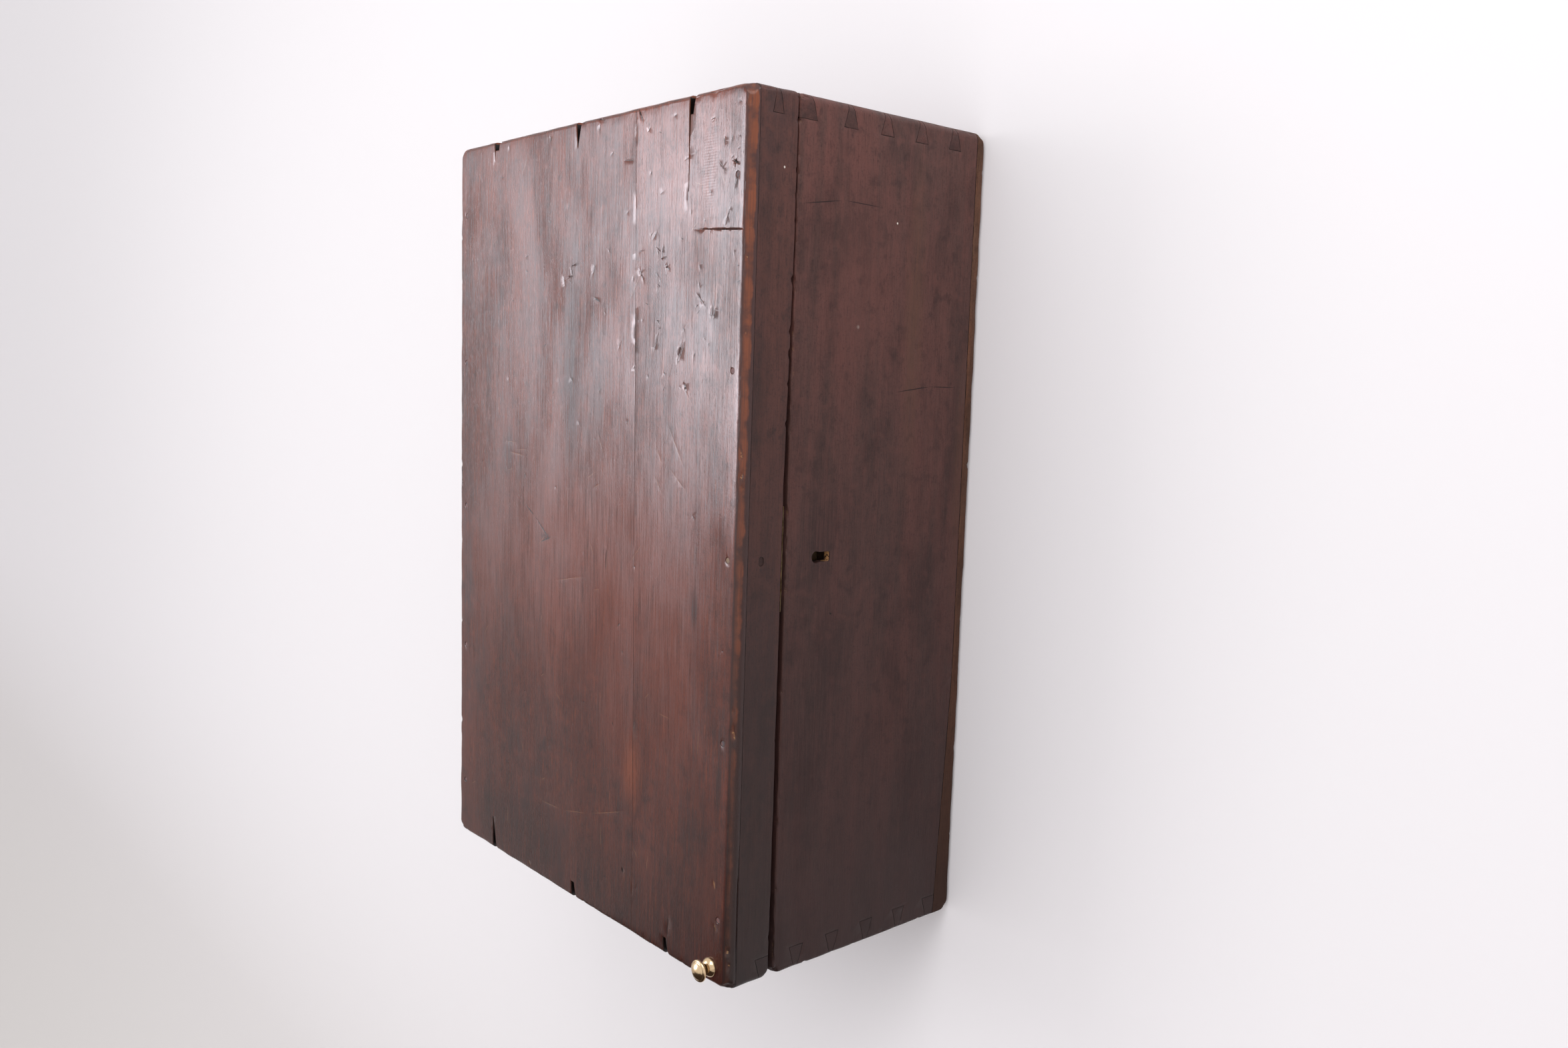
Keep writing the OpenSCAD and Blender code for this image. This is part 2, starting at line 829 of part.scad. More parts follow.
module rim_end(low_z) {
    end_x = right_x - rim_t;
    intersection() {
        union() {
            block([-end_x, panel_rear, low_z], [end_x, rim_rear, low_z + rim_t]);
            for (x = [left_x, end_x - overcut])
                along_x(x, rim_t + overcut) children();
        }
        door_form();
    }
}

module door_rim_top() {
    color(wood) rim_end(top_z - rim_t) rim_top_pin();
}

module door_rim_bottom() {
    color(wood) difference() {
        rim_end(foot_z) rim_foot_pin();
        foot_wedge();
        knob_screw_hole();
    }
}

module panel_nails() {
    color(iron) panel_nail_places() nail(panel_nail_len);
}

// Oblong plug that fills an old hole in the free side of the rim
module plug_outline(room) {
    r = plug_w / 2 + room;
    reach = (plug_h - plug_w) / 2;
    translate([panel_rear + plug_back, key_z + plug_rise]) {
        for (z = [-reach, reach])
            translate([0, z]) circle(r);
        square([2 * r, 2 * reach], center = true);
    }
}

module rim_plug() {
    color(iron) along_x(right_x - plug_len, plug_len - nail_sink) plug_outline(0);
}

// Knob: a domed head with a rolled edge on a stem, in a round rose
module knob_place() {
    translate([right_x - knob_inset, door_front, foot_z + knob_rise]) rotate([90, 0, 0]) children();
}

module knob_screw_hole() {
    knob_place() translate([0, 0, -knob_screw_bite - fit])
        cylinder(h = knob_screw_bite + fit + overcut, d = knob_screw_d + 2 * fit);
}

module dome_section(r, rise) {
    ball_r = (pow(r, 2) + pow(rise, 2)) / (2 * rise);
    intersection() {
        translate([0, rise - ball_r]) circle(ball_r);
        square([r, rise]);
    }
}

module knob() {
    rolled_r = knob_head_t * knob_roll_share;
    face_t = knob_head_t * knob_face_share;
    under_t = knob_head_t - face_t;
    middle = knob_reach - face_t;
    lens_r = knob_d / 2 - rolled_r / 2;
    color(brass) knob_place() difference() {
        rotate_extrude() {
            translate([0, middle]) dome_section(lens_r, face_t);
            translate([0, middle]) mirror([0, 1]) dome_section(lens_r, under_t);
            translate([knob_d / 2 - rolled_r, middle]) circle(rolled_r);
            square([knob_stem_d / 2, middle]);
        }
        translate([0, 0, -overcut]) cylinder(h = overcut + knob_screw_grip, d = knob_screw_d + 2 * fit);
    }
}

module knob_rose() {
    rim = rose_t * rose_rim_share;
    color(brass) knob_place() rotate_extrude() difference() {
        union() {
            square([rose_d / 2, rim]);
            translate([0, rim]) dome_section(rose_d / 2, rose_t + rose_crown - rim);
        }
        square([knob_stem_d / 2 + fit, 2 * rose_t]);
    }
}

module knob_screw() {
    color(iron) knob_place() {
        translate([0, 0, -knob_screw_bite + knob_screw_d])
            cylinder(h = knob_screw_bite - knob_screw_d + knob_screw_grip - fit, d = knob_screw_d);
        translate([0, 0, -knob_screw_bite])
            cylinder(h = knob_screw_d, d1 = knob_screw_d / 5, d2 = knob_screw_d);
    }
}

// Butt hinges: facing is 1 for the leaf on the case and -1 for the leaf on the door
module hinge_beds(facing) {
    face_y = hinge_y + facing * door_gap / 2;
    bed_y = face_y + facing * leaf_t;
    for (z = [upper_hinge_z, lower_hinge_z])
        block(
            [left_x - overcut, min(face_y - facing * overcut, bed_y), z - hinge_len / 2],
            [leaf_end_x, max(face_y - facing * overcut, bed_y), z + hinge_len / 2]
        );
}

module hinge_leaf(z, facing) {
    face_y = hinge_y + facing * door_gap / 2;
    bed_y = face_y + facing * leaf_t;
    low_y = min(face_y, bed_y);
    high_y = max(face_y, bed_y);
    foot = z - hinge_len / 2;
    own = facing > 0 ? [0, 2, 4] : [1, 3];
    color(brass) difference() {
        union() {
            block([leaf_start_x, low_y, foot], [leaf_end_x, high_y, foot + hinge_len]);
            for (k = own) {
                low = foot + k * knuckle_pitch + (k > 0 ? slide_fit / 2 : 0);
                high = foot + (k + 1) * knuckle_pitch - (k < knuckle_count - 1 ? slide_fit / 2 : 0);
                block([hinge_x, low_y, low], [leaf_start_x + overcut, high_y, high]);
                translate([hinge_x, hinge_y, low]) cylinder(h = high - low, r = knuckle_r);
            }
        }
        translate([hinge_x, hinge_y, foot - overcut])
            cylinder(h = hinge_len + 2 * overcut, d = hinge_pin_d + 2 * pin_fit);
        hinge_screw_places(facing) screw_hole(hinge_screw_d, hinge_screw_len);
    }
}

module upper_hinge_case_leaf() {
    hinge_leaf(upper_hinge_z, 1);
}

module upper_hinge_door_leaf() {
    hinge_leaf(upper_hinge_z, -1);
}

module lower_hinge_case_leaf() {
    hinge_leaf(lower_hinge_z, 1);
}

module lower_hinge_door_leaf() {
    hinge_leaf(lower_hinge_z, -1);
}

// Pin with a flat head resting on the upper knuckle
module hinge_pin(z) {
    head_t = 1;
    color(brass) translate([hinge_x, hinge_y, z - hinge_len / 2]) {
        cylinder(h = hinge_len + head_t, d = hinge_pin_d);
        translate([0, 0, hinge_len]) cylinder(h = head_t, r = knuckle_r - slide_fit);
    }
}

module upper_hinge_pin() {
    hinge_pin(upper_hinge_z);
}

module lower_hinge_pin() {
    hinge_pin(lower_hinge_z);
}

module hinge_case_screws() {
    color(brass) hinge_screw_places(1) wood_screw(hinge_screw_d, hinge_screw_len);
}

module hinge_door_screws() {
    color(brass) hinge_screw_places(-1) wood_screw(hinge_screw_d, hinge_screw_len);
}

// Box lock let into the right side
module keyhole(low_x, high_x) {
    along_x(low_x, high_x - low_x) {
        translate([key_y, key_z]) circle(keyhole_r);
        translate([key_y, key_z - keyhole_slot_w / 2])
            worn_rectangle([0, 0], [keyhole_reach, keyhole_slot_w], [0, keyhole_end_r, 0, keyhole_end_r]);
    }
}

module lock_mortise() {
    half = lock_plate_h / 2;
    low = [inner_x - overcut, case_front - overcut, key_z - half];
    block(low, [plate_x, case_front + lock_plate_d, key_z + half]);
    block(low, [inner_x + lock_flange_w, flange_rear, key_z + half]);
    block(
        [inner_x, case_front, key_z - lock_cover_h / 2],
        [cover_x, flange_rear + lock_cover_d, key_z + lock_cover_h / 2]
    );
}

// Slots in the flange that the staples pass through
module staple_slots() {
    half = staple_t / 2 + slide_fit;
    for (z = [key_z - staple_step, key_z + staple_step])
        block(
            [staple_x - slide_fit, case_front - overcut, z - half],
            [staple_x + staple_w + slide_fit, flange_rear + overcut, z + half]
        );
}

module lock_plate() {
    half = lock_plate_h / 2;
    low = [inner_x, case_front, key_z - half];
    color(brass) difference() {
        union() {
            block(low, [plate_x, case_front + lock_plate_d, key_z + half]);
            block(low, [inner_x + lock_flange_w, flange_rear, key_z + half]);
            for (z = stud_heights)
                translate([inner_x, stud_y, key_z + z]) rotate([0, 90, 0])
                    cylinder(h = bar_x - inner_x, r = stud_r);
        }
        staple_slots();
        lock_screw_places() screw_hole(lock_screw_d, lock_screw_len);
    }
}

module lock_cover() {
    half = lock_cover_h / 2;
    color(iron) difference() {
        block([plate_x, flange_rear, key_z - half], [cover_x, flange_rear + lock_cover_d, key_z + half]);
        block(
            [plate_x - overcut, flange_rear - overcut, key_z - half + lock_wall],
            [cavity_x, flange_rear + lock_cover_d - lock_wall, key_z + half - lock_wall]
        );
        keyhole(cavity_x - overcut, cover_x + overcut);
    }
}

module lock_pin() {
    color(iron) translate([plate_x, key_y, key_z]) rotate([0, 90, 0])
        cylinder(h = lock_cover_t - lock_pin_clear, d = lock_pin_d);
}

// Bolt: a slotted bar with two fingers that pass through the staples
module bolt_outline() {
    finger_len = finger_leg + bolt_travel + finger_over;
    for (low = [bar_low, leg_low]) {
        translate([finger_y, low]) square([finger_w, finger_len]);
        translate([finger_y, low]) square([bar_y - finger_y + overcut, finger_leg]);
    }
}

module lock_bolt() {
    color(iron) difference() {
        translate([0, 0, key_z]) {
            along_x(finger_x, bolt_finger_t) bolt_outline();
            along_x(plate_x + slide_fit / 2, bar_x - plate_x - slide_fit / 2)
                translate([bar_y, bar_low]) square([bar_w, bar_high - bar_low]);
        }
        translate([0, 0, key_z]) along_x(plate_x, bar_x - plate_x + overcut) {
            translate([bar_rear, talon_z]) circle(talon_r);
            for (z = stud_heights) {
                slot_r = stud_r + slide_fit / 2;
                translate([stud_y, z]) circle(slot_r);
                translate([stud_y, z - bolt_travel]) circle(slot_r);
                translate([stud_y - slot_r, z - bolt_travel]) square([2 * slot_r, bolt_travel]);
            }
        }
    }
}

// Bowed spring between the bolt and the cover
module lock_spring() {
    middle_z = key_z + (bar_low + bar_high) / 2;
    middle_x = bar_x + spring_rise + spring_t - spring_r;
    front_y = bar_rear - talon_r - spring_clear - spring_w;
    color(iron) intersection() {
        translate([middle_x, front_y, middle_z]) rotate([-90, 0, 0]) difference() {
            cylinder(h = spring_w, r = spring_r);
            translate([0, 0, -overcut]) cylinder(h = spring_w + 2 * overcut, r = spring_r - spring_t);
        }
        block([bar_x, bar_y, middle_z - spring_half], [cavity_x, bar_rear, middle_z + spring_half]);
    }
}

module lock_screws() {
    color(brass) lock_screw_places() wood_screw(lock_screw_d, lock_screw_len);
}

// Link plate on the door's free edge, with two staples that reach into the lock
module link_outline() {
    half = link_plate_h / 2;
    block(
        [staple_x - link_margin, free_rear - lock_plate_t, key_z - half],
        [staple_x + staple_w + link_margin, free_rear, key_z + half]
    );
}

module link_bed() {
    link_outline();
    translate([0, overcut, 0]) link_outline();
}

module link_plate() {
    root_y = free_rear - overcut;
    color(brass) {
        difference() {
            link_outline();
            link_screw_places() screw_hole(lock_screw_d, lock_screw_len);
        }
        for (z = [key_z - staple_step, key_z + staple_step])
            along_z(z - staple_t / 2, staple_t) difference() {
                translate([staple_x, root_y]) square([staple_w, staple_end - root_y]);
                translate([staple_x + staple_leg, eye_front]) square([eye_w, eye_rear - eye_front]);
            }
    }
}

module link_screws() {
    color(brass) link_screw_places() wood_screw(lock_screw_d, lock_screw_len);
}

side_left();
side_right();
top_board();
bottom_board();
back_board();
back_nails();
shelf();
shelf_cleat_left();
shelf_cleat_right();
cleat_nails();
shelf_nails();
door_board_wide();
door_board_narrow();
door_rim_left();
door_rim_right();
door_rim_top();
door_rim_bottom();
panel_nails();
rim_plug();
knob();
knob_rose();
knob_screw();
upper_hinge_case_leaf();
upper_hinge_door_leaf();
upper_hinge_pin();
lower_hinge_case_leaf();
lower_hinge_door_leaf();
lower_hinge_pin();
hinge_case_screws();
hinge_door_screws();
lock_plate();
lock_cover();
lock_pin();
lock_bolt();
lock_spring();
lock_screws();
link_plate();
link_screws();
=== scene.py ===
"""Dress the small wall cabinet: worn dovetailed boards, old polish, brass, iron and a plain stage."""

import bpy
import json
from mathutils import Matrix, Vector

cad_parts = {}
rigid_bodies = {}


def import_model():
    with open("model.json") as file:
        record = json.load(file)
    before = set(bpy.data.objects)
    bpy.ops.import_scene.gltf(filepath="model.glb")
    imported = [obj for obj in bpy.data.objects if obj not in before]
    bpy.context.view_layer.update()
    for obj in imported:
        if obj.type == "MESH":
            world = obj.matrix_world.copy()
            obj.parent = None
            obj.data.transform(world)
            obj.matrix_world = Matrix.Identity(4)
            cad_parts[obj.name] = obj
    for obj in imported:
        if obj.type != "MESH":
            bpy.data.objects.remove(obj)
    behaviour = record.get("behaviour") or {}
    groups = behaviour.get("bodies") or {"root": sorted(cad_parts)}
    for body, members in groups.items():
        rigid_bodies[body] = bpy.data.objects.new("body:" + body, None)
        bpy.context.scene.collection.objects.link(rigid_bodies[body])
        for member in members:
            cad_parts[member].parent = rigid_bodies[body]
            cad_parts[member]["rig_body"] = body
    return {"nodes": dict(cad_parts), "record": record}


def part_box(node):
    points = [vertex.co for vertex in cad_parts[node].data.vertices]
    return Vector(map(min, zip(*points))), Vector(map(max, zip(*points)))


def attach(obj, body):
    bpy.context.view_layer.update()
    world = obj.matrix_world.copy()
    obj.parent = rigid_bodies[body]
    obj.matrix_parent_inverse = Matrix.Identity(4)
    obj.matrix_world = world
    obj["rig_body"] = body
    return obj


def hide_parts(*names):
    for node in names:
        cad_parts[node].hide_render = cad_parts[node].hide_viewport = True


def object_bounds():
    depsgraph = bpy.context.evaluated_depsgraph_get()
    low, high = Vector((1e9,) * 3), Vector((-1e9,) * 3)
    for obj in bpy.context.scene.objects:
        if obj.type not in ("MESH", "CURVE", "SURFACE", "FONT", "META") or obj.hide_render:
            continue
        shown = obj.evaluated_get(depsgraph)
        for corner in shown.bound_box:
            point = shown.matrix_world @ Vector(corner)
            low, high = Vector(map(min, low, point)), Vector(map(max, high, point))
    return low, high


bl_info = {
    "name": "Small wall cabinet",
    "version": (1, 0, 0),
    "blender": (4, 5, 0),
    "location": "View3D > Sidebar > Cabinet",
    "description": "Worn boards, old polish, brass and iron for the small wall cabinet",
    "category": "Object",
}

import json
import math
import random

import bmesh
import bpy
from bpy.props import FloatProperty, FloatVectorProperty, IntProperty, PointerProperty
from mathutils import Matrix, Vector, noise

for leftover in list(bpy.data.objects):
    bpy.data.objects.remove(leftover)

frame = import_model()
cad_low, cad_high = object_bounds()

# Units and directions
MM = 0.001
AXES = (Vector((1.0, 0.0, 0.0)), Vector((0.0, 1.0, 0.0)), Vector((0.0, 0.0, 1.0)))

# Boards that share one outer box, so that their wear runs on across the joints
CASE_BOARDS = ("side_left", "side_right", "top_board", "bottom_board", "back_board")
DOOR_PANEL = ("door_board_wide", "door_board_narrow")
DOOR_RIM = ("door_rim_left", "door_rim_right", "door_rim_top", "door_rim_bottom")

# Depths in millimetres below an outer face at which a board is cut finer, towards its edges
EDGE_ROWS = (0.9, 2.0, 3.4, 5.2, 7.6)
# A face this near an outer plane is part of the outside
SKIN = 3.2 * MM
# Wear fades out this far below the outside
WEAR_REACH = 6.5 * MM
# Edges sharper than this are joint lines or corners
SHARP = math.radians(30)
# Faces that meet at less than this are shaded as one
SMOOTH = math.radians(22)
# Points closer than this are one point
MERGE = 1e-6
# A face larger than this, in square metres, was left whole, and stays flat to its edges
WHOLE_FACE = 2e-4
# Layers of wear on the points of a mesh, and of painted shade in the door's notches, which the wood
# finishes read
WEAR_LAYERS = ("joint", "rubbed", "chipped", "scars_and_notch_shade", "scuffed")
# Reach of the rolled front corners on the door's free side
ROLL = 13 * MM
# Rounds of smoothing that a rolled corner gets
ROLL_ROUNDS = 16
# Spans of the slow waves, of the rubbing along edges, and of the nicks and their drift
WAVE_SPAN = 55 * MM
RUB_SPAN = 13 * MM
NICK_SPAN = 4.5 * MM
NICK_DRIFT = 30 * MM
# The case's front edges flake over this depth
FLAKE_DEPTH = 8 * MM
# Towards the top, wear is less by the gap behind the door: fully within near, not at all past far
GAP_NEAR = 4 * MM
GAP_FAR = 12 * MM

slot_of = {part["node"]: part["material_slot"] for part in frame["record"]["subparts"]}


def shade(code):
    """A linear colour from a web colour code."""
    channels = [int(code[i:i + 2], 16) / 255 for i in (1, 3, 5)]
    return tuple(c / 12.92 if c <= 0.04045 else ((c + 0.055) / 1.055) ** 2.4 for c in channels)


def colour(name, description, code):
    """A colour property."""
    return FloatVectorProperty(
        name=name, description=description, subtype="COLOR", min=0.0, max=1.0, default=shade(code))


def length(name, description, millimetres):
    """A length property, in metres like the scene."""
    return FloatProperty(
        name=name, description=description, unit="LENGTH", min=0.0, precision=5, default=millimetres * MM)


def share(name, description, value):
    """A plain number from 0 to 1."""
    return FloatProperty(
        name=name, description=description, subtype="FACTOR", min=0.0, max=1.0, default=value)


def power(name, description, watts):
    """The power of a light."""
    return FloatProperty(name=name, description=description, unit="POWER", min=0.0, default=watts)


def angle(name, description, degrees):
    """An angle property."""
    return FloatProperty(
        name=name, description=description, subtype="ANGLE", default=math.radians(degrees))


class CabinetColours(bpy.types.PropertyGroup):
    """Colours of the woods and metals"""

    # Each wood's dark tone also gives the painted shade that darkens it towards its foot
    front_ground: colour("Front ground", "Main brown of the door's front", "#5e3129")
    front_red: colour("Front red", "Red bands in the door's front", "#7d3f2f")
    front_dark: colour("Front dark", "Dark streaks in the door's front", "#281918")
    side_ground: colour("Side ground", "Main brown of the case", "#533934")
    side_red: colour("Side red", "Red-brown mottling of the case", "#66403a")
    side_dark: colour("Side dark", "Dark streaks in the case", "#2a1d1c")
    side_warm: colour("Side warm", "Faded upright bands on the case", "#694738")
    rim_ground: colour("Rim ground", "Main brown of the door's rim", "#4a312e")
    rim_red: colour("Rim red", "Red-brown mottling of the rim", "#5e3a33")
    rim_dark: colour("Rim dark", "Dark streaks in the rim", "#27201f")
    plain_ground: colour("Plain ground", "Unpolished wood of the back and the inside", "#664a3c")
    plain_red: colour("Plain red", "Warm bands in the unpolished wood", "#744d3b")
    plain_dark: colour("Plain dark", "Dark streaks in the unpolished wood", "#33241f")
    arris: colour("Worn edge", "Rubbed wood along the outer edges", "#7c452f")
    raw_wood: colour("Raw wood", "Bare wood in chips and in the keyhole", "#b98c60")
    end_grain: colour("End grain", "Board ends", "#261a19")
    # The grime tone also paints the shade in the door's notches
    grime_and_shade: colour("Grime", "Dirt in joints, dents and scratches", "#14100f")
    brass: colour("Brass", "Polished brass", "#dcc09a")
    brass_dull: colour("Dull brass", "Brass in hollows and on old hardware", "#6d5430")
    warm: colour("Warm", "Redder wood halfway up the door's front", "#8a412b")
    paint_speck: colour("Paint speck", "Specks of wall paint", "#efe6da")
    orange: colour("Orange", "Bright patch low on the door's front", "#9a4d2b")
    iron: colour("Iron", "Dark wrought iron", "#352c2a")
    rust: colour("Rust", "Rust on the iron", "#513226")
    plug: colour("Plug", "Filling of the old hole in the rim", "#2c1d19")


class CabinetWood(bpy.types.PropertyGroup):
    """Sizes of the figure in the wood"""

    streak_width: length("Streak width", "Width of the fine streaks", 0.9)
    streak_run: length("Streak run", "Length of the fine streaks", 30.0)
    band_width: length("Band width", "Width of the broad bands", 8.0)
    band_run: length("Band run", "Length of the broad bands", 150.0)
    patch_width: length("Patch width", "Width of the mottling", 26.0)
    patch_run: length("Patch run", "Length of the mottling", 60.0)
    pore_width: length("Pore width", "Width of an open pore", 0.4)
    pore_run: length("Pore run", "Length of an open pore", 6.0)
    speck: length("Speck", "Size of the fine specks", 1.2)
    relief: length("Relief", "Height of the raised grain", 0.06)


class CabinetWear(bpy.types.PropertyGroup):
    """Depths and steps of the wear"""

    joint_groove: length("Joint groove", "Width of the eased corner along a joint", 0.28)
    glue_groove: length("Glue groove", "Width of the eased corner along the door's glue line", 0.16)
    back_groove: length("Back groove", "Width of the eased corner round the back board", 0.55)
    wave: length("Waves", "Depth of the slow waves in the planed faces", 0.22)
    rub: length("Rubbed edges", "Depth of the wear along outer edges", 0.8)
    corner: length("Corners", "Extra wear where three outer faces meet", 2.6)
    nick: length("Nicks", "Depth of the nicks in outer edges", 1.0)
    fine_step: length("Edge step", "Length of the facets along outer edges", 2.2)
    panel_step: length("Front step", "Size of the facets of the door's front", 5.0)
    board_step: length("Board step", "Size of the facets of the other boards", 9.0)
    metal_edge: length("Metal edge", "Width of the eased edges of the metalwork", 0.12)
    seed: IntProperty(name="Seed", description="Start of the random dents and hairlines", default=11)


class CabinetStage(bpy.types.PropertyGroup):
    """Backdrop, light and camera"""

    wall: colour("Wall", "Painted wall", "#f1eef1")
    floor: colour("Floor", "Pale floor", "#d9d5d3")
    window_light: power("Window power", "Power of the window light", 4.0)
    gleam_light: power("Gleam power", "Power of the window's gleam on polish and metal", 72.0)
    overhead_light: power("Overhead power", "Power of the soft light overhead", 13.0)
    behind_light: power("Power behind", "Power of the soft light on the back", 40.0)
    window_size: length("Window size", "Side of the square window light", 700.0)
    window_distance: length("Window distance", "From the cabinet to the window light", 1700.0)
    window_heading: angle("Window heading", "Angle of the window from straight ahead, to the left", 35.5)
    window_rise: angle("Window rise", "Angle of the window above the cabinet", 9.5)
    sky: share("Room light", "Strength of the light from all round", 0.97)
    lens: FloatProperty(
        name="Lens", description="Focal length on a 36 mm wide sensor, in mm", min=1.0, default=28.7)
    eye: FloatVectorProperty(
        name="Eye", description="Place of the camera", subtype="TRANSLATION",
        default=(0.6806, -0.613, -0.1061))
    heading: angle("Heading", "Camera's turn to the left of straight ahead", 48.6)
    pitch: angle("Pitch", "Camera's tilt, up from level", -6.836)
    roll: angle("Roll", "Camera's turn about its own axis", 1.843)


# Mesh tools


def outer_box(nodes):
    """The lowest and highest corners of several nodes together."""
    boxes = [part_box(node) for node in nodes]
    low = Vector([min(box[0][axis] for box in boxes) for axis in range(3)])
    high = Vector([max(box[1][axis] for box in boxes) for axis in range(3)])
    return low, high


case_box = outer_box(CASE_BOARDS)
door_box = outer_box(DOOR_PANEL + DOOR_RIM)
# The glue line slants between these two places
glue_line = (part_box("door_board_narrow")[0].x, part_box("door_board_wide")[1].x)
panel_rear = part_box("door_board_wide")[1].y
rolled_corners = [Vector((door_box[1].x, door_box[0].y, end.z)) for end in door_box]


def merged_copy(node):
    """A copy of a node's mesh with its points merged and its flat faces whole."""
    mesh = bmesh.new()
    mesh.from_mesh(frame["nodes"][node].data)
    bmesh.ops.remove_doubles(mesh, verts=mesh.verts, dist=MERGE)
    bmesh.ops.dissolve_limit(
        mesh, angle_limit=math.radians(0.4), verts=mesh.verts, edges=mesh.edges)
    return mesh


def ease_edges(mesh, edges, width):
    """Ease sharp edges and mark the middle of each eased edge as a place where dirt sits."""
    joint = mesh.verts.layers.float["joint"]
    eased = bmesh.ops.bevel(
        mesh, geom=edges, offset=width, offset_type="OFFSET", affect="EDGES", segments=2, profile=0.5,
        material=-1, clamp_overlap=False)
    corner_faces = set(eased["faces"])
    for vert in eased["verts"]:
        if all(face in corner_faces for face in vert.link_faces):
            vert[joint] = 1.0


def sharp_edges(mesh):
    """The outward corners of a mesh."""
    return [e for e in mesh.edges if len(e.link_faces) == 2 and e.is_convex and e.calc_face_angle() > SHARP]


def with_corners(faces):
    """Faces with their edges and points, as the cutting operator needs them."""
    parts = set(faces)
    for face in faces:
        parts.update(face.edges)
        parts.update(face.verts)
    return list(parts)


def slice_faces(mesh, faces, normal, places):
    """Cut faces at each place along a normal, halving the work at each cut."""
    if not places or not faces:
        return faces
    middle = len(places) // 2
    cut = bmesh.ops.bisect_plane(
        mesh, geom=with_corners(faces), dist=MERGE, plane_co=normal * places[middle], plane_no=normal)
    pieces = [part for part in cut["geom"] if isinstance(part, bmesh.types.BMFace)]
    below = [f for f in pieces if f.calc_center_median().dot(normal) < places[middle]]
    above = [f for f in pieces if f.calc_center_median().dot(normal) >= places[middle]]
    lower = slice_faces(mesh, below, normal, places[:middle])
    return lower + slice_faces(mesh, above, normal, places[middle + 1:])


def depths(point, box):
    """Distance of a point below the nearer outer plane on each axis."""
    return [min(point[axis] - box[0][axis], box[1][axis] - point[axis]) for axis in range(3)]


def cut_rows(low, high, step):
    """Places to cut between two outer planes: close rows by each plane, then every step."""
    near = [row * MM for row in EDGE_ROWS]
    first = low + near[-1]
    last = high - near[-1]
    count = max(1, round((last - first) / step))
    middle = [first + (last - first) * i / count for i in range(1, count)]
    return [low + row for row in near] + middle + [high - row for row in reversed(near)]


def cut_outside(mesh, box, step):
    """Cut the outside of a board into facets, in closer rows towards its outer edges."""
    outside = [f for f in mesh.faces if min(depths(f.calc_center_median(), box)) < SKIN]
    for axis in range(3):
        outside = slice_faces(mesh, outside, AXES[axis], cut_rows(box[0][axis], box[1][axis], step))


def cut_edges(mesh, box, step):
    """Cut the strips along a board's outer edges into short facets."""
    for axis in range(3):
        low, high = box[0][axis], box[1][axis]
        count = round((high - low) / step)
        places = [low + (high - low) * i / count for i in range(1, count)]
        others = [other for other in range(3) if other != axis]
        strip = []
        for face in mesh.faces:
            below = depths(face.calc_center_median(), box)
            if all(below[other] < WEAR_REACH * 0.8 for other in others):
                strip.append(face)
        slice_faces(mesh, strip, AXES[axis], places)


def ease_in(value, low, high):
    """0 below low, 1 above high, and smooth between."""
    part = min(1.0, max(0.0, (value - low) / (high - low)))
    return part * part * (3.0 - 2.0 * part)


def hand_wear(point, box, wear):
    """The inward push on a point of the outside, and how rubbed and chipped it is there."""
    inward = Vector((0.0, 0.0, 0.0))
    near = []
    for axis in range(3):
        from_low = point[axis] - box[0][axis]
        from_high = box[1][axis] - point[axis]
        nearness = ease_in(WEAR_REACH - min(from_low, from_high), 0.0, WEAR_REACH)
        inward[axis] = nearness if from_low < from_high else -nearness
        near.append(nearness)
    near.sort()
    face = near[2]
    if face <= 0.0:
        return inward, 0.0, 0.0
    inward.normalize()
    edge = near[1]
    slow = 0.5 + 0.5 * noise.noise(point / WAVE_SPAN)
    wavy = 0.5 + 0.5 * noise.noise(point / RUB_SPAN)
    front = case_box[0].y
    flaked = 0.2 * ease_in(point.y, front - 0.3 * MM, front) * (point.y < front + FLAKE_DEPTH)
    chip = noise.noise(point / NICK_SPAN) + 0.35 * noise.noise(point / NICK_DRIFT) + flaked
    chip = ease_in(chip, 0.34, 0.62) * (1.0 - rolled(point))
    by_gap = ease_in(abs(point.y - front), GAP_FAR, GAP_NEAR)
    rise = (point.z - case_box[0].z) / (case_box[1].z - case_box[0].z)
    rub = wear.rub * wavy * (1.0 - by_gap * (0.9 * rise - 0.2))
    rub += wear.corner * near[0] * (1.0 - by_gap * rise)
    push = face * (wear.wave * slow + edge * (rub + wear.nick * chip * edge))
    return inward * push, edge, chip * edge


def add_layers(mesh):
    """Add the wear layers to a mesh."""
    for name in WEAR_LAYERS:
        mesh.verts.layers.float.new(name)


def wear_outside(mesh, box, wear, strength=None):
    """Push the outside of a mesh in by the wear of its body, and note where it is rubbed or chipped."""
    rubbed = mesh.verts.layers.float["rubbed"]
    chipped = mesh.verts.layers.float["chipped"]
    for vert in mesh.verts:
        push, rub, chip = hand_wear(vert.co, box, wear)
        amount = strength(vert.co) if strength else 1.0
        vert.co += push
        vert[rubbed] = rub * amount
        vert[chipped] = max(vert[chipped], chip * amount)


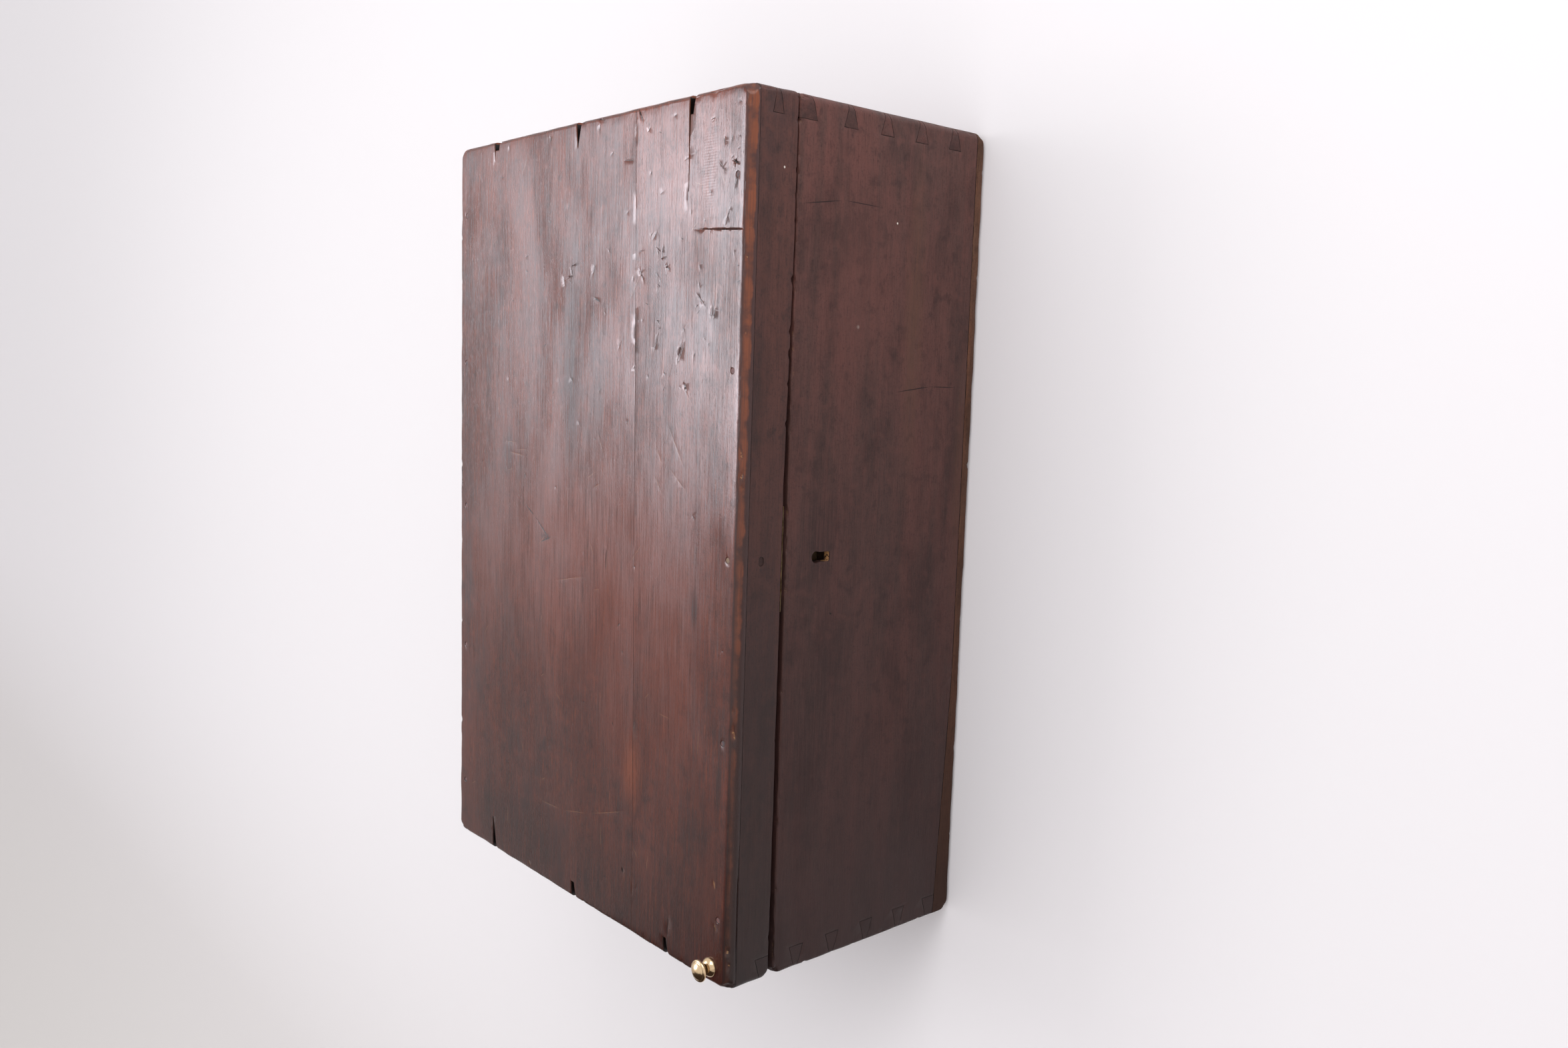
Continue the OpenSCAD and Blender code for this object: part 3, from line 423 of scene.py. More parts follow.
def score(mesh, layer, out, start, end, width, depth):
    """Press a groove into the face that looks towards out, tapering to nothing at start and end."""
    along = (end - start).normalized()
    run = (end - start).length
    across = out.cross(along)
    centre = (start + end) / 2
    pad = width + 6 * MM
    faces = []
    for face in mesh.faces:
        if face.normal.dot(out) < 0.6:
            continue
        offset = face.calc_center_median() - centre
        far = abs(offset.dot(along)) > run / 2 + pad or abs(offset.dot(across)) > pad
        if not far and abs(offset.dot(out)) < SKIN:
            faces.append(face)
    side = start.dot(across)
    faces = slice_faces(mesh, faces, across, [side - width / 2, side, side + width / 2])
    first = start.dot(along)
    faces = slice_faces(mesh, faces, along, [first + run * part for part in (0.0, 0.2, 0.5, 0.8, 1.0)])
    touched = {vert for face in faces for vert in face.verts}
    for vert in touched:
        part = (vert.co.dot(along) - first) / run
        if 0.0 < part < 1.0 and abs(vert.co.dot(across) - side) < 0.02 * MM:
            taper = 1.0 - (2.0 * part - 1.0) ** 2
            vert.co -= out * depth * taper
            vert[layer] = max(vert[layer], taper)


def hold_wear(data):
    """Keep the wear layers off the faces left whole, across which they would run."""
    places = [0] * len(data.loops)
    data.loops.foreach_get("vertex_index", places)
    cut = [1.0] * len(data.loops)
    for face in data.polygons:
        if face.area >= WHOLE_FACE:
            for corner in face.loop_indices:
                cut[corner] = 0.0
    for name in WEAR_LAYERS:
        at_points = [0.0] * len(data.vertices)
        data.attributes[name].data.foreach_get("value", at_points)
        data.attributes.remove(data.attributes[name])
        held = data.attributes.new(name, "FLOAT", "CORNER")
        held.data.foreach_set("value", [at_points[place] * part for place, part in zip(places, cut)])


def finish_piece(name, mesh, node, material):
    """Make an object from a mesh, hand it to its body and let it stand for its node."""
    data = bpy.data.meshes.new(name)
    mesh.to_mesh(data)
    mesh.free()
    data.materials.clear()
    data.materials.append(material)
    data.shade_smooth()
    data.set_sharp_from_angle(angle=SMOOTH)
    for face in data.polygons:
        face.use_smooth = face.area < WHOLE_FACE
    hold_wear(data)
    piece = bpy.data.objects.new(name, data)
    bpy.context.scene.collection.objects.link(piece)
    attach(piece, frame["nodes"][node]["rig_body"])
    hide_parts(node)


def worn_board(node, box, step, material, marks=None, strength=None, groove=None):
    """A board of the case or the door, with eased joints, waves, rubbed edges and marks."""
    wear = bpy.context.scene.cabinet_wear
    mesh = merged_copy(node)
    add_layers(mesh)
    if node in DOOR_PANEL:
        glued = [e for e in sharp_edges(mesh) if on_glue_line(e)]
        ease_edges(mesh, glued, wear.glue_groove)
    plain = [e for e in sharp_edges(mesh) if not on_glue_line(e) and not on_rolled_corner(e)]
    ease_edges(mesh, plain, groove or wear.joint_groove)
    cut_outside(mesh, box, step)
    if marks:
        marks(mesh)
    cut_edges(mesh, box, wear.fine_step)
    roll_corners(mesh)
    wear_outside(mesh, box, wear, strength)
    finish_piece("worn_" + node, mesh, node, material)


def on_glue_line(edge):
    """Whether an edge lies along the glue line between the door's two boards."""
    middle = (edge.verts[0].co + edge.verts[1].co) / 2
    upright = abs((edge.verts[0].co - edge.verts[1].co).normalized().z) > 0.9
    between = glue_line[0] - 0.5 * MM < middle.x < glue_line[1] + 0.5 * MM
    return upright and between and middle.y < panel_rear + 0.5 * MM


def rolled(point):
    """How near a point of the panel is to a rolled corner, from 0 to 1."""
    if point.y > panel_rear - 0.5 * MM:
        return 0.0
    nearest = min((point - corner).length for corner in rolled_corners)
    return ease_in(ROLL - nearest, 0.0, 0.5 * ROLL)


def on_rolled_corner(edge):
    """Whether an edge lies on a rolled corner, where no dirt sits."""
    return rolled((edge.verts[0].co + edge.verts[1].co) / 2) > 0.0


def roll_corners(mesh):
    """Smooth the rolled corners of the door."""
    near = [(vert, rolled(vert.co)) for vert in mesh.verts]
    near = [(vert, amount) for vert, amount in near if amount > 0.0]
    for _ in range(ROLL_ROUNDS):
        places = []
        for vert, amount in near:
            others = [edge.other_vert(vert).co for edge in vert.link_edges]
            middle = sum(others, Vector()) / len(others)
            places.append(vert.co.lerp(middle, 0.5 * amount))
        for (vert, _), place in zip(near, places):
            vert.co = place


def eased_copy(name, node, material, box=None):
    """A small piece with its edges eased, sunk with the board that holds it where it has a box."""
    wear = bpy.context.scene.cabinet_wear
    mesh = merged_copy(node)
    add_layers(mesh)
    ease_edges(mesh, sharp_edges(mesh), wear.metal_edge)
    if box:
        wear_outside(mesh, box, wear)
    finish_piece(name, mesh, node, material)


# Materials

# How strongly the finer parts of a cloud show
CLOUD_ROUGHNESS = 0.55
# Turns of the grain
UPRIGHT = (0.0, 0.0, 0.0)
CROSSWISE = (0.0, math.radians(-90), 0.0)
LENGTHWISE = (math.radians(90), 0.0, 0.0)
# Values of the pore cloud between which a pore opens
PORE_EDGE = (0.6, 0.7)
# Span of the cloud that breaks up wear and dirt
UNEVEN_SPAN = 9 * MM
# Reach of the rubbed wood behind the front's free edge, and half of its soft border
EDGE_REACH = 3.4 * MM
EDGE_FADE = 0.6 * MM
# Pitch of the plane's ripples
RIPPLE_PITCH = 1.5 * MM


class Finish:
    """A new material, with short calls that add its nodes."""

    def __init__(self, name):
        self.material = bpy.data.materials.new(name)
        self.material.use_nodes = True
        self.tree = self.material.node_tree
        self.tree.nodes.clear()
        self.out = self.node("ShaderNodeOutputMaterial")
        self.surface = self.node("ShaderNodeBsdfPrincipled")
        self.tree.links.new(self.surface.outputs[0], self.out.inputs["Surface"])
        self.coordinates = self.node("ShaderNodeTexCoord")

    def node(self, kind, **settings):
        """Add a node."""
        made = self.tree.nodes.new(kind)
        for key, value in settings.items():
            setattr(made, key, value)
        return made

    def feed(self, socket, value):
        """Link a socket to another, or set its value."""
        if isinstance(value, bpy.types.NodeSocket):
            self.tree.links.new(value, socket)
        else:
            socket.default_value = value

    def set(self, name, value):
        """Feed one of the surface's own sockets."""
        self.feed(self.surface.inputs[name], value)

    def maths(self, operation, first, second=0.0):
        """One sum."""
        made = self.node("ShaderNodeMath", operation=operation)
        self.feed(made.inputs[0], first)
        self.feed(made.inputs[1], second)
        return made.outputs[0]

    def times(self, first, second):
        """Product of two values."""
        return self.maths("MULTIPLY", first, second)

    def step(self, value, low, high):
        """0 at low, 1 at high, and smooth between."""
        made = self.node("ShaderNodeMapRange", interpolation_type="SMOOTHSTEP")
        self.feed(made.inputs["Value"], value)
        made.inputs["From Min"].default_value = low
        made.inputs["From Max"].default_value = high
        return made.outputs[0]

    def mix(self, amount, first, second):
        """Blend two colours."""
        made = self.node("ShaderNodeMix", data_type="RGBA")
        self.feed(made.inputs[0], amount)
        self.feed(made.inputs[6], first)
        self.feed(made.inputs[7], second)
        return made.outputs[2]

    def lay(self, tone, amount, strength, tint):
        """Lay a tint over a tone by an amount, at a strength."""
        return self.mix(self.times(amount, strength), tone, tint)

    def split(self, kind):
        """The three parts of the object's coordinates or normals."""
        made = self.node("ShaderNodeSeparateXYZ")
        self.feed(made.inputs[0], self.coordinates.outputs[kind])
        return made.outputs

    def layer(self, name):
        """One of the mesh's wear layers."""
        made = self.node("ShaderNodeAttribute", attribute_name=name)
        return made.outputs["Fac"]

    def place(self, sizes, turn=(0.0, 0.0, 0.0), shift=(0.0, 0.0, 0.0)):
        """Object coordinates turned, and counted in sizes (metres) along each axis after the turn."""
        turned = self.node("ShaderNodeMapping")
        self.feed(turned.inputs["Vector"], self.coordinates.outputs["Object"])
        turned.inputs["Rotation"].default_value = turn
        turned.inputs["Location"].default_value = shift
        scaled = self.node("ShaderNodeMapping")
        self.feed(scaled.inputs["Vector"], turned.outputs[0])
        scaled.inputs["Scale"].default_value = [1.0 / size for size in sizes]
        return scaled.outputs[0]

    def cloud(self, vector, detail, warp=0.0):
        """Soft random values about one half."""
        made = self.node("ShaderNodeTexNoise")
        self.feed(made.inputs["Vector"], vector)
        made.inputs["Scale"].default_value = 1.0
        made.inputs["Detail"].default_value = detail
        made.inputs["Roughness"].default_value = CLOUD_ROUGHNESS
        made.inputs["Distortion"].default_value = warp
        return made.outputs[0]

    def spot(self, centre, radii):
        """A soft round patch: 1 at its centre and 0 beyond its radii, in metres."""
        made = self.node("ShaderNodeMapping")
        self.feed(made.inputs["Vector"], self.coordinates.outputs["Object"])
        made.inputs["Scale"].default_value = [1.0 / radius for radius in radii]
        made.inputs["Location"].default_value = [-c / radius for c, radius in zip(centre, radii)]
        distance = self.node("ShaderNodeVectorMath", operation="LENGTH")
        self.feed(distance.inputs[0], made.outputs[0])
        return self.step(distance.outputs["Value"], 1.0, 0.15)

    def relief(self, height, depth):
        """Raise the surface by a height from 0 to 1, at a real depth."""
        bump = self.node("ShaderNodeBump")
        bump.inputs["Strength"].default_value = 1.0
        bump.inputs["Distance"].default_value = depth
        self.feed(bump.inputs["Height"], height)
        self.set("Normal", bump.outputs[0])


def paint(values):
    """A colour with its alpha."""
    return (*values, 1.0)


def wood_finish(
        name, tones, turn=UPRIGHT, shift=(0.0, 0.0, 0.0), gloss=0.4, shine=0.25, figure=1.0,
        spots=(), foot=0.0, front=False, ripple=None):
    """Streaked wood along the grain, with painted shade that darkens it towards its foot, and with end
    grain, rubbed edges, chips, dirt and the painted shade marked in the notches.
    """
    colours = bpy.context.scene.cabinet_colours
    wood = bpy.context.scene.cabinet_wood
    ground, red, dark = (paint(tone) for tone in tones)
    raw = paint(colours.raw_wood)
    finish = Finish(name)

    def grain(width, run, detail, warp=0.0):
        return finish.cloud(finish.place((width, width, run), turn, shift), detail, warp)

    streak = grain(wood.streak_width, wood.streak_run, 4.0)
    band = grain(wood.band_width, wood.band_run, 3.0, 0.4)
    patch = grain(wood.patch_width, wood.patch_run, 5.0, 0.3)
    broad = grain(2.6 * wood.patch_width, 2.6 * wood.patch_run, 3.0, 0.5)
    pore = grain(wood.pore_width, wood.pore_run, 1.0)
    fleck = grain(0.5 * wood.streak_width, 0.25 * wood.streak_run, 2.0)
    speck = finish.cloud(finish.place((wood.speck,) * 3), 3.0)
    uneven = finish.cloud(finish.place((UNEVEN_SPAN,) * 3), 3.0)

    figured = finish.maths("ADD", finish.times(band, 0.45), finish.times(broad, 0.55))
    tone = finish.mix(finish.step(figured, 0.38, 0.64), ground, red)
    # Each figure over the last: its cloud, where it starts and is full, its strength and its tone
    figures = [
        (streak, 0.46, 0.74, 0.5 * figure, dark),
        (patch, 0.44, 0.7, 0.5, dark),
        (speck, 0.5, 0.75, 0.45, dark),
        (pore, *PORE_EDGE, 0.4 * figure, dark),
        (speck, 0.42, 0.25, 0.35, red),
        (fleck, 0.52, 0.74, 0.5, dark),
        (fleck, 0.44, 0.24, 0.5, red),
        (uneven, 0.52, 0.72, 0.45, red),
        (uneven, 0.46, 0.28, 0.4, dark),
    ]
    if front:
        glow = grain(2.2 * wood.streak_width, 0.6 * wood.streak_run, 3.0)
        figures.append((glow, 0.55, 0.75, 0.45, paint(colours.orange)))
    for cloud, start, full, strength, tint in figures:
        tone = finish.lay(tone, finish.step(cloud, start, full), strength, tint)
    for centre, radii, tint, strength in spots:
        ragged = finish.times(finish.spot(centre, radii), finish.step(streak, 0.25, 0.6))
        tone = finish.lay(tone, ragged, strength, paint(tint))
    place = finish.split("Object")
    rise = finish.maths("SUBTRACT", place["Z"], case_box[0].z)
    rise = finish.times(rise, 1.0 / (case_box[1].z - case_box[0].z))
    # Painted shade: by the foot amount, the tone darkens towards the foot, as if the light fell from above
    low = finish.times(finish.maths("SUBTRACT", 1.0, rise), foot)
    tone = finish.mix(low, tone, dark)

    facing = finish.split("Normal")
    along = facing["X"] if turn == CROSSWISE else facing["Z"]
    board_end = finish.step(finish.maths("ABSOLUTE", along), 0.7, 0.95)
    tone = finish.lay(tone, board_end, 0.2, paint(colours.end_grain))

    worn = finish.maths("ADD", finish.times(rise, 0.8 if front else 0.3), 0.2 if front else 0.1)
    rubbed = finish.step(finish.layer("rubbed"), 0.3, 0.9)
    if front:
        depth = finish.maths("SUBTRACT", place["Y"], door_box[0].y)
        reach = finish.maths("ADD", finish.times(rise, EDGE_REACH), finish.times(uneven, EDGE_REACH))
        near = finish.step(finish.maths("SUBTRACT", reach, depth), -EDGE_FADE, EDGE_FADE)
        free_side = finish.times(finish.step(facing["X"], 0.35, 0.75), near)
        # The door's free side takes the rim's dark tone, with painted shade towards its foot
        tone = finish.mix(finish.step(facing["X"], 0.1, 0.45), tone, edge_tone(finish, low))
        rubbed = finish.maths("MAXIMUM", rubbed, free_side)
    rubbed = finish.times(finish.times(rubbed, worn), finish.step(uneven, 0.2, 0.6))
    streaked = finish.times(finish.step(streak, 0.4, 0.7), 0.5)
    rubbed = finish.times(rubbed, finish.maths("SUBTRACT", 1.1, streaked))
    tone = finish.mix(rubbed, tone, paint(colours.arris))
    tone = finish.lay(tone, finish.step(finish.layer("scuffed"), 0.1, 0.9), 0.4, raw)
    chipped = finish.times(finish.layer("chipped"), finish.step(speck, 0.3, 0.6))
    tone = finish.mix(finish.step(chipped, 0.3, 0.8), tone, raw)
    joint = finish.times(finish.layer("joint"), finish.step(uneven, 0.25, 0.62))
    if front:
        joint = finish.times(joint, finish.maths("SUBTRACT", 1.1, rise))
    # Grime in joints and scratches, and painted shade in the door's notches, all in the grime tone
    dirt = finish.maths("MAXIMUM", joint, finish.times(finish.layer("scars_and_notch_shade"), 0.85))
    tone = finish.mix(finish.step(dirt, 0.05, 0.7), tone, paint(colours.grime_and_shade))
    finish.set("Base Color", tone)

    # The three clouds add up to 0.42 on average, so gloss is the mean roughness
    matt = finish.maths("ADD", finish.times(broad, 0.34), finish.times(streak, 0.3))
    matt = finish.maths("ADD", finish.maths("ADD", matt, finish.times(patch, 0.2)), gloss - 0.42)
    if front:
        handled = finish.step(place["X"], case_box[0].x, case_box[1].x)
        matt = finish.maths("SUBTRACT", matt, finish.times(finish.maths("SUBTRACT", handled, 0.6), 0.06))
    finish.set("Roughness", matt)
    finish.set("Specular IOR Level", shine)
    open_pore = finish.step(pore, *PORE_EDGE)
    raised = finish.maths("SUBTRACT", finish.times(streak, 0.6), finish.times(open_pore, 0.35))
    raised = finish.maths("ADD", raised, finish.times(speck, 0.5))
    if ripple:
        wave = finish.maths("SINE", finish.times(place["Z"], 2 * math.pi / RIPPLE_PITCH))
        raised = finish.maths("ADD", raised, finish.times(finish.times(wave, finish.spot(*ripple)), 0.18))
    finish.relief(raised, wood.relief)
    return finish.material


def edge_tone(finish, low):
    """The dark tone of the door's free side, with painted shade that darkens it towards its foot."""
    colours = bpy.context.scene.cabinet_colours
    return finish.mix(finish.times(low, 1.5), paint(colours.rim_ground), paint(colours.rim_dark))


def tones(prefix):
    """The three tones of a wood, by the first word of their names."""
    colours = bpy.context.scene.cabinet_colours
    return [getattr(colours, prefix + "_" + tone) for tone in ("ground", "red", "dark")]


def brass_finish(name, dullness, gloss):
    """Brass with dull, darker hollows and fine handling marks."""
    colours = bpy.context.scene.cabinet_colours
    finish = Finish(name)
    cloud = finish.cloud(finish.place((6 * MM,) * 3), 4.0)
    fine = finish.cloud(finish.place((0.7 * MM,) * 3), 3.0)
    dull = finish.times(finish.step(cloud, 0.35, 0.75), dullness)
    dull = finish.maths("MAXIMUM", dull, finish.times(finish.layer("joint"), 0.4 * dullness))
    finish.set("Base Color", finish.mix(dull, paint(colours.brass), paint(colours.brass_dull)))
    finish.set("Metallic", 1.0)
    uneven = finish.maths("ADD", finish.times(dull, 0.3), finish.times(fine, 0.1))
    finish.set("Roughness", finish.maths("ADD", uneven, gloss))
    finish.relief(fine, 0.01 * MM)
    return finish.material


def iron_finish(name, stained=False):
    """Dark iron with brown rust in patches, or stained over with the front's polish."""
    colours = bpy.context.scene.cabinet_colours
    finish = Finish(name)
    cloud = finish.cloud(finish.place((3 * MM,) * 3), 5.0)
    fine = finish.cloud(finish.place((0.5 * MM,) * 3), 3.0)
    rusty = finish.step(cloud, 0.42, 0.66)
    tone = finish.mix(rusty, paint(colours.iron), paint(colours.rust))
    if stained:
        tone = finish.mix(rusty, paint(colours.front_ground), paint(colours.front_dark))
        bright = finish.spot(front_point(BRIGHT_NAIL[0]), metres(BRIGHT_NAIL[1]))
        tone = finish.lay(tone, bright, 0.8, paint(colours.brass_dull))
        rusty = 1.0
    finish.set("Base Color", tone)
    finish.set("Metallic", finish.maths("SUBTRACT", 0.85, finish.times(rusty, 0.7)))
    finish.set("Roughness", finish.maths("ADD", finish.times(rusty, 0.3), 0.45))
    finish.relief(fine, 0.04 * MM)
    return finish.material


# Marks on the door's front, in millimetres from its left edge and up from its foot

# Dark scratches and cuts: start, end, width, depth
FRONT_SCRATCHES = (
    ((276, 427), (320, 424), 0.7, 0.5),
    ((298, 425.5), (321.5, 424), 2.6, 0.9),
    ((298, 462), (306, 454), 0.6, 0.25),
    ((310, 461), (317, 458), 1.6, 0.6),
    ((314, 462), (312, 456), 1.4, 0.6),
    ((316, 456), (312, 445), 0.8, 0.35),
    ((310, 437), (305, 427), 0.6, 0.25),
    ((238, 423), (243, 428), 1.3, 0.4),
    ((224, 417), (231, 418), 0.8, 0.3),
    ((242, 419), (247, 416), 0.7, 0.25),
    ((249, 420), (248, 411), 0.9, 0.35),
    ((246, 412), (253, 413), 0.7, 0.3),
    ((251, 409), (256, 405), 2.4, 0.7),
    ((225, 408), (230, 400), 1.2, 0.45),
    ((141, 407), (143, 400), 0.8, 0.3),
    ((145, 405), (153, 406), 0.7, 0.3),
    ((152, 406), (149, 412), 0.7, 0.3),
    ((149, 412), (159, 413), 0.7, 0.3),
    ((178, 411), (175, 406), 0.9, 0.35),
    ((176, 392), (185, 389), 2.0, 0.5),
    ((281, 392), (290, 384), 0.8, 0.3),
    ((296, 385), (295, 378), 1.0, 0.35),
    ((299, 384), (297, 377), 1.0, 0.35),
    ((269, 366), (265, 352), 0.9, 0.45),
    ((272, 366), (266, 354), 0.9, 0.45),
    ((246, 371), (242, 360), 0.6, 0.25),
    ((271, 342.5), (274, 337), 2.6, 0.8),
    ((222, 400), (223, 330), 0.5, 0.3),
    ((272.6, 472), (271.6, 436), 0.8, 0.5),
    ((95, 256), (108, 249), 1.4, 0.03),
    ((107, 250), (128, 235), 1.8, 0.05),
    ((114, 232), (131, 238), 1.2, 0.03),
    ((207, 471), (219, 470), 0.7, 0.25),
    ((222, 499), (227, 490), 1.6, 0.6),
    ((181, 495), (181, 491), 1.4, 0.5),
    ((123, 495), (124, 491), 1.2, 0.5),
    ((70, 495), (71, 491), 1.2, 0.4),
    ((303, 474), (303, 469), 0.9, 0.4),
    ((218, 39.5), (219, 36), 2.0, 0.8),
    ((268, 27), (267, 12), 0.6, 0.3),
    ((196, 240), (194, 222), 0.4, 0.2),
    ((2.2, 288), (3.6, 260), 3.2, 1.0),
)

# Pale scratches that cut through the polish
FRONT_PALE_SCRATCHES = (
    ((71, 290), (95, 288.5), 0.5, 0.03),
    ((66, 297), (84, 297), 0.4, 0.03),
    ((80, 292), (99, 293), 0.4, 0.02),
    ((134, 209), (171, 217), 0.4, 0.02),
    ((257, 318), (274, 293), 0.4, 0.02),
    ((259, 293), (277, 280), 0.4, 0.02),
    ((179, 274), (187, 278), 0.4, 0.05),
    ((116, 55), (146, 56), 0.4, 0.05),
    ((146, 56), (179, 63), 0.4, 0.05),
    ((179, 63), (222, 77), 0.4, 0.05),
    ((310, 62.5), (311.5, 57), 2.2, 0.4),
    ((312, 37.5), (313, 32), 1.8, 0.4),
    ((103, 8), (106, 3.5), 1.2, 0.3),
)

# A groove at the foot of the free side, in millimetres back from the front and up from its foot
FOOT_GROOVE = (((6.0, 3), (6.1, 85), 2.2, 0.7),)
# Small random dents: how many, and the part of the front that they lie in
DENT_FIELDS = (
    (46, (228, 335), (318, 490)),
    (26, (20, 300), (225, 494)),
    (22, (20, 10), (315, 300)),
)
# Least and most of a dent's run, width and depth
DENT_RUN = (1.5, 5.0)
DENT_WIDTH = (0.5, 1.2)
DENT_DEPTH = (0.06, 0.2)
# Fine pale hairlines: how many, where they start across and up, their longest run, width and depth
HAIRLINES = 36
HAIRLINE_ACROSS = (15, 300)
HAIRLINE_UP = (15, 480)
HAIRLINE_RUN = (14, 22)
HAIRLINE_WIDTH = 0.45
HAIRLINE_DEPTH = 0.015
# Where painted shade goes on the notches' inner walls: in from the sides, in from the top or foot, and
# behind the front
NOTCH_ASIDE = 20 * MM
NOTCH_REACH = (1.2 * MM, 27 * MM)
NOTCH_SKIN = 0.4 * MM
# The panel nail that shows bright: its centre and the reach of the bright metal
BRIGHT_NAIL = ((315, 246.5), (4, 9, 4))
# Plane ripples near the top of the front: their centre and reach
RIPPLE = ((291, 455), (11, 30, 36))
# Soft patches on the front: centre, reach, colour and strength
FRONT_PATCHES = (
    ((170, 225), (190, 30, 120), "warm", 0.65),
    ((226, 104), (14, 30, 32), "orange", 0.9),
    ((205, 135), (26, 30, 60), "front_red", 0.6),
    ((262, 170), (40, 30, 110), "front_red", 0.5),
    ((42, 205), (30, 30, 80), "front_red", 0.5),
    ((305, 48), (12, 30, 40), "front_red", 0.5),
    ((286, 215), (4, 30, 16), "grime_and_shade", 0.8),
    ((312, 112), (5, 30, 34), "grime_and_shade", 0.7),
    ((122, 237), (8, 30, 4), "grime_and_shade", 0.8),
    ((152, 340), (14, 30, 90), "front_dark", 0.8),
    ((71, 290), (12, 30, 26), "front_dark", 0.6),
    ((90, 25), (110, 30, 45), "front_dark", 0.7),
    ((290, 70), (55, 30, 70), "front_dark", 0.4),
    ((235, 10), (130, 30, 55), "front_dark", 0.7),
)

# Marks on the right side, in millimetres back from the door's front and up from its foot
SIDE_SCRATCHES = (
    ((36, 441), (70, 446.5), 0.9, 0.03),
    ((68, 446.4), (101, 445.7), 0.8, 0.03),
    ((115, 340), (150, 344.5), 0.9, 0.04),
    ((146, 344), (172, 344), 0.8, 0.03),
    ((69, 212), (71, 211), 1.6, 0.2),
)
# Soft patches on the case's sides and on the door's rim: centre, reach, colour and strength
SIDE_PATCHES = (
    ((112.5, 438.1), (0.9, 0.9, 0.9), "paint_speck", 1.0),
    ((83.6, 377), (1.6, 1.6, 1.6), "paint_speck", 0.3),
    ((60, 252), (30, 22, 48), "side_dark", 0.6),
    ((60, 150), (30, 40, 70), "side_dark", 0.4),
    ((51.5, 209), (30, 5, 6), "grime_and_shade", 0.5),
    ((82, 400), (30, 34, 75), "side_red", 0.4),
    ((130, 380), (30, 12, 130), "side_warm", 0.55),
    ((178, 280), (30, 10, 120), "side_warm", 0.5),
)
RIM_PATCHES = (((24.1, 458.7), (0.9, 0.9, 0.9), "paint_speck", 1.0),)
# Bare wood in the keyhole: depth below the side, half height about the lock's pin, and reach behind it
KEYHOLE_DEPTH = (0.6 * MM, 13 * MM)
KEYHOLE_HALF = 5 * MM
KEYHOLE_BACK = (3 * MM, 12 * MM)


def front_point(place):
    """A point on the door's front from its place in millimetres."""
    return Vector((door_box[0].x + place[0] * MM, door_box[0].y, door_box[0].z + place[1] * MM))


def side_point(place):
    """A point on the right side, in millimetres back from the door's front and up from the foot."""
    return Vector((door_box[1].x, door_box[0].y + place[0] * MM, door_box[0].z + place[1] * MM))


def metres(sizes):
    """Sizes in metres from millimetres."""
    return [size * MM for size in sizes]


def patches(rows, place):
    """Soft patches of colour as the wood finish takes them, from rows in millimetres."""
    colours = bpy.context.scene.cabinet_colours
    return [
        (place(centre), metres(reach), getattr(colours, tint), strength)
        for centre, reach, tint, strength in rows]


def score_all(mesh, layer, out, place, marks):
    """Press grooves given by their start, end, width and depth in millimetres."""
    worn_layer = mesh.verts.layers.float[layer]
    for start, end, width, depth in marks:
        score(mesh, worn_layer, out, place(start), place(end), width * MM, depth * MM)


def random_dents(chance):
    """Short dents in each field of the front."""
    for count, low, high in DENT_FIELDS:
        for _ in range(count):
            start = (chance.uniform(low[0], high[0]), chance.uniform(low[1], high[1]))
            turn = chance.uniform(0.0, math.pi)
            run = chance.uniform(*DENT_RUN)
            end = (start[0] + run * math.cos(turn), start[1] + run * math.sin(turn))
            yield start, end, chance.uniform(*DENT_WIDTH), chance.uniform(*DENT_DEPTH)


def random_hairlines(chance):
    """Fine pale lines over the whole front."""
    across, up = HAIRLINE_RUN
    for _ in range(HAIRLINES):
        start = (chance.uniform(*HAIRLINE_ACROSS), chance.uniform(*HAIRLINE_UP))
        end = (start[0] + chance.uniform(-across, across), start[1] + chance.uniform(-up, up))
        yield start, end, HAIRLINE_WIDTH, HAIRLINE_DEPTH


def front_marks(mesh):
    """Scratches, cuts and dents of the door's front, and painted shade on the walls of its notches."""
    out = Vector((0.0, -1.0, 0.0))
    scars_and_notch_shade = mesh.verts.layers.float["scars_and_notch_shade"]
    # Painted shade: points on the notches' inner walls take the scar layer, so the finish paints them dark
    # in the grime tone
    for vert in mesh.verts:
        aside, behind, inward = depths(vert.co, door_box)
        in_notch = aside > NOTCH_ASIDE and NOTCH_REACH[0] < inward < NOTCH_REACH[1]
        if in_notch and behind > NOTCH_SKIN:
            vert[scars_and_notch_shade] = 1.0
    score_all(mesh, "scars_and_notch_shade", out, front_point, FRONT_SCRATCHES)
    score_all(mesh, "scuffed", out, front_point, FRONT_PALE_SCRATCHES)
    score_all(mesh, "scars_and_notch_shade", AXES[0], side_point, FOOT_GROOVE)
    chance = random.Random(bpy.context.scene.cabinet_wear.seed)
    score_all(mesh, "scars_and_notch_shade", out, front_point, random_dents(chance))
    score_all(mesh, "scuffed", out, front_point, random_hairlines(chance))


def side_marks(mesh):
    """Faint dark scratches of the right side, and bare wood in its keyhole."""
    score_all(mesh, "scars_and_notch_shade", AXES[0], side_point, SIDE_SCRATCHES)
    keyhole_raw(mesh)


def free_edge_strength(point):
    """How far the door's wear shows: most along the free edge, least by the hinges."""
    across = (point.x - door_box[0].x) / (door_box[1].x - door_box[0].x)
    front = ease_in(point.y, door_box[0].y + 9 * MM, door_box[0].y + 4 * MM)
    return 0.14 + 0.6 * ease_in(across, 0.93, 0.97) * front


def case_strength(point):
    """How far the case's wear shows: along its front edges, and a little elsewhere."""
    return 0.2 + 0.22 * ease_in(point.y, case_box[0].y + 9 * MM, case_box[0].y + 3 * MM)


